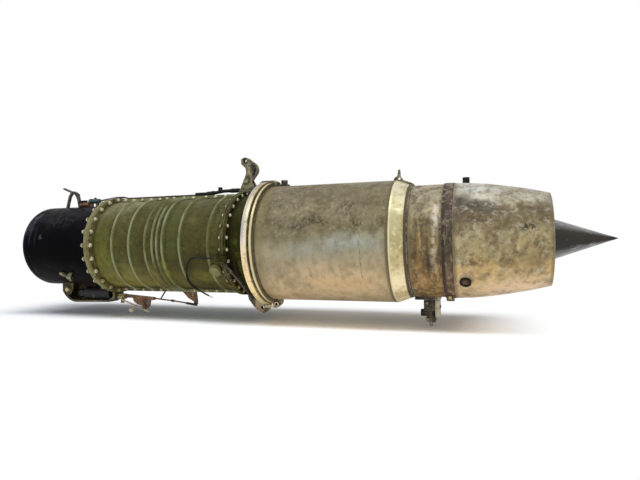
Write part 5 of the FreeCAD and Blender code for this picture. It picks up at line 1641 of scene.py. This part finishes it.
# %% Tree: row of twisted blades
def make_blade_row():
    inputs = [
        ("Count", COUNT, 30),
        ("Station", FLOAT, 1.757),
        ("Root", FLOAT, 0.121),
        ("Tip", FLOAT, 0.1700),
        ("Chord", FLOAT, 0.029),
        ("Thickness", FLOAT, 0.0042),
        ("Camber", FLOAT, 0.0046),
        ("Root Stagger", FLOAT, math.radians(-23)),
        ("Twist", FLOAT, math.radians(-15)),
        ("Finish", MATERIAL, None),
    ]
    group, given, give = grower("row_of_blades", inputs)
    sizes = {"Vertices": 16, "Side Segments": 6, "Radius": 1.0, "Depth": 1.0}
    tube = add(group, "GeometryNodeMeshCylinder", sizes, fill_type="NGON")["Mesh"]
    parted = split(group, add(group, "GeometryNodeInputPosition")[0])
    along, side = parted["X"], parted["Y"]
    share = plus(group, parted["Z"], 0.5)
    bow = minus(group, 1.0, times(group, along, along))
    thin = minus(group, 0.62, times(group, along, 0.38))
    depth = times(group, times(group, side, thin), given["Thickness"])
    lean = plus(group, depth, times(group, bow, given["Camber"]))
    run = times(group, along, times(group, given["Chord"], 0.5))
    turn = plus(group, given["Root Stagger"], times(group, given["Twist"], share))
    cosine, sine = calc(group, "COSINE", turn), calc(group, "SINE", turn)
    axial = minus(group, times(group, run, cosine), times(group, lean, sine))
    sideways = plus(group, times(group, run, sine), times(group, lean, cosine))
    reach = minus(group, given["Tip"], given["Root"])
    height = plus(group, given["Root"], times(group, share, reach))
    spot = joined(group, X=plus(group, axial, given["Station"]), Y=sideways, Z=height)
    blade = add(group, "GeometryNodeSetPosition", {"Geometry": tube, "Position": spot})[0]
    points = add(group, "GeometryNodePoints", {"Count": given["Count"]})[0]
    index = add(group, "GeometryNodeInputIndex")[0]
    pitch = calc(group, "DIVIDE", 2 * math.pi, given["Count"])
    roll = joined(group, X=times(group, index, pitch))
    return give(real_and_painted(group, copies(group, points, blade, roll), given["Finish"]))


BLADE_ROW = make_blade_row()
row = [grown(BLADE_ROW, {"Finish": INNER})]
blades = piece_of("turbine_blade_row", row, INNER, body="rotor", node="turbine_blades")
print("turbine blades:", len(blades.data.polygons), "faces")

# %% [markdown]
# ## Small fittings in mesh code
#
# The photograph shows many small things that are too fine for the construction model:
# bosses on the lifting link, rings round its eye, sleeves on the hose, a collar on the
# union, clips on the rear flange, the seam's clamp bolt. Each is closed, stands on the
# piece that carries it and reaches a little into it, so that no gap is left. The
# mounting eyes stay open.

# %% Lifting link: bosses and the ring of its eye
LINK_FACE, LINK_EYE_FACE = 0.0098, 0.0105
BOSSES = [(1.050, 0.314, 0.0060), (1.0555, 0.297, 0.0070), (1.053, 0.279, 0.0060)]
EYE_RING = [(-0.001, 0.0084), (-0.001, 0.0112), (0.0014, 0.0112), (0.0014, 0.0084)]
SIDES = ((-1, NEAR), (1, FAR))

bosses = []
for station, height, radius in BOSSES:
    crown = [(0, 0), (0, radius), (0.0036, radius), (0.0052, radius * 0.7), (0.0056, 0)]
    for side, facing in SIDES:
        bosses.append((add_turned, (station, side * LINK_FACE, height), facing, crown, 16))
build("link_bosses", IRON, bosses)
eye_rings = [
    (add_ring, (1.015, side * LINK_EYE_FACE, 0.334), facing, EYE_RING, 24)
    for side, facing in SIDES
]
build("link_eye_rings", IRON, eye_rings)

# %% Hose sleeves, union collars and the guard on the stub
hose_sleeves = [
    (add_rod, [(0.834, 0, 0.2081), (0.850, 0, 0.2084), (0.868, 0, 0.2106)], 0.0094, 16),
    (add_rod, [(0.944, 0, 0.216), (0.984, 0, 0.216)], 0.0090, 16),
]
build("hose_sleeves", RUBBER, hose_sleeves, round_off=0.001)

collar = [(0, 0), (0, 0.0128), (0.011, 0.0128), (0.011, 0)]
build(
    "union_collar", TEAL, [(add_turned, (0.229, 0, 0.199), REARWARD, collar, 18)],
    round_off=0.0012,
)
cap = [(0, 0), (0, 0.0055), (0.006, 0.0055), (0.0085, 0.003), (0.0085, 0)]
guard = [
    (add_turned, (0.257, 0, 0.2075), UP, cap, 12),
    (add_block, (0.190, 0, 0.2000), (0.040, 0.011, 0.008)),
]
build("stub_guard", RUBBER, guard, round_off=0.001)
feet = [(add_block, (station, 0, 0.1825), (0.012, 0.020, 0.012)) for station in (0.238, 0.268)]
build("union_feet", BROWN, feet, round_off=0.0012)
print("fittings of the top placed")

# %% Rear flange: clips and the thin drain line
CLIPS = [(1.025, 33, 0.012), (1.024, 41, 0.011), (1.009, 49, 0.010), (1.009, 56, 0.010)]
clips = []
for station, angle, size in CLIPS:
    outward, around_it = skin_axes(angle)
    place = on_skin(station, angle, 0.2085)
    clips.append((add_block, place, (size, 0.005, 0.007), around_it, outward))
build("flange_clips", BROWN, clips, round_off=0.001)

LINE_TURNS = [
    (1.054, 18, 0.192), (1.055, 21, 0.199), (1.058, 26, 0.2025), (1.062, 33, 0.203),
    (1.066, 41, 0.203), (1.069, 49, 0.2025), (1.071, 54, 0.200), (1.072, 57, 0.193),
]
line_places = [on_skin(*turn) for turn in LINE_TURNS]
build("thin_drain_line", RUBBER, [(add_rod, line_places, 0.0024, 10)])

# %% Clamp bolt of the seam
SEAM_BOLT_ANGLE = 71.0
SEAM_BOLT_LIFT = 0.0015
outward, around_it = skin_axes(SEAM_BOLT_ANGLE)
middle = on_skin(1.818, SEAM_BOLT_ANGLE, 0.2085)
lugs = [
    (add_block, middle + around_it * side * 0.0095, (0.008, 0.016, 0.026), around_it, outward)
    for side in (-1, 1)
]
build("seam_bolt_lugs", FITTING, lugs, round_off=0.0014)

start = middle - around_it * 0.020 + outward * SEAM_BOLT_LIFT
upper_head = middle + around_it * 0.0132 + outward * SEAM_BOLT_LIFT
lower_head = middle - around_it * 0.0132 + outward * SEAM_BOLT_LIFT
shank = [(0, 0), (0, 0.0034), (0.041, 0.0034), (0.041, 0)]
seam_bolt = [
    (add_turned, start, around_it, shank, 12),
    (add_head, upper_head, around_it, 0.0064, 0.006),
    (add_head, lower_head, -around_it, 0.0064, 0.005),
]
build("seam_bolt", NUTS, seam_bolt, smooth=False)

# %% Cores of the nozzle's side ports
DOME = [(0, 0), (0, 0.0112), (0.0016, 0.0112), (0.0026, 0.0085), (0.0029, 0)]
cores = [
    (add_turned, on_skin(1.872, angle, 0.2036), skin_axes(angle)[0], DOME, 24)
    for angle in (42.0, 138.0)
]
build("port_cores", BROWN, cores)

# %% Rear top bracket: cheeks beside its foot, below the open eye
cheeks = [
    (add_block, (1.634, side * 0.0115, 0.2100), (0.024, 0.030, 0.011), UP, REARWARD, 0.55)
    for side in (-1, 1)
]
build("bracket_cheeks", IRON, cheeks, round_off=0.001)

# %% Lower lugs and rear mount: bolts, plate and collar
lug_nuts = [
    (add_head, (1.049, -0.0300, -0.207), NEAR, 0.0085, 0.008),
    (add_head, (1.049, -0.0100, -0.207), FAR, 0.0085, 0.006),
]
build("lug_nuts", RUBBER, lug_nuts, smooth=False)

ear_ring = [(-0.001, 0.0055), (-0.001, 0.0096), (0.0020, 0.0096), (0.0020, 0.0055)]
plate = [
    (add_block, (1.127, -0.0330, -0.2475), (0.038, 0.012, 0.005)),
    (add_head, (1.116, -0.0350, -0.2475), NEAR, 0.0048, 0.0035),
    (add_ring, (1.154, -0.0305, -0.240), NEAR, ear_ring),
]
build("lug_plate", LINKAGE, plate, round_off=0.0008)

spigot_collar = [(0, 0.0150), (0, 0.0192), (0.008, 0.0192), (0.008, 0.0150)]
rear_bolts = [
    (add_ring, (1.744, 0, -0.276), DOWN, spigot_collar, 24),
    (add_head, (1.7755, -0.012, -0.236), REARWARD, 0.0055, 0.0035),
    (add_head, (1.7755, 0.012, -0.236), REARWARD, 0.0055, 0.0035),
    (add_head, (1.733, -0.0185, -0.222), NEAR, 0.0062, 0.006),
    (add_head, (1.733, 0.0185, -0.222), FAR, 0.0062, 0.006),
]
build("rear_mount_bolts", FITTING, rear_bolts, round_off=0.0006)
print("fittings of the underside placed")

# %% [markdown]
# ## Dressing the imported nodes
#
# The nodes' shapes are right, so they stay and only get these finishes. Assigning to the
# object's own slot leaves the mesh as it was packed. What isn't listed lies inside.

# %% Assign the finishes
FINISHES = [
    (BLACK, "intake_drum nose_cone"),
    (OLIVE, "compressor_casing_near compressor_casing_far"),
    (FLANGE, "front_frame"),
    (NUTS, "cradle_knob"),
    (DARK_OLIVE, "diffuser_casing lead_clamp"),
    (RING, "mounting_ring"),
    (BURNER, "burner_casing"),
    (BAND, "conical_band"),
    (TURBINE, "turbine_casing"),
    (RUST, "clamp_ring"),
    (NOZZLE, "jet_nozzle"),
    (CONE, "tail_cone cone_struts"),
    (MOUNT, "upper_mount_bracket upper_mount_link upper_mount_pin"),
    (MOUNT, "lower_mount_lug lower_mount_ear rear_top_bracket ring_saddle"),
    (FITTING, "drum_clip"),
    (IRON, "drum_top_strap side_pipe igniter breather_pipe"),
    (CAP, "bleed_cap"),
    (REAR_MOUNT, "rear_mount_fitting"),
    (OILY, "pump_cradle"),
    (PUMP, "fuel_pump"),
    (LINKAGE, "control_rod"),
    (RUSTY, "link_bar drain_bracket"),
    (PIPE_RUST, "drain_pipe"),
    (BROWN, "breather_stub"),
    (TEAL, "breather_union"),
    (PALE_GREEN, "drain_union"),
    (RUBBER, "top_hose hose_clamp nozzle_ports"),
]
dressed = set()
for finish, names in FINISHES:
    for name in names.split():
        NODES[name].material_slots[0].material = finish
        dressed.add(name)
for name in sorted(set(NODES) - dressed):
    NODES[name].material_slots[0].material = INNER
print("dressed", len(dressed), "outer nodes and", len(NODES) - len(dressed), "inner ones")
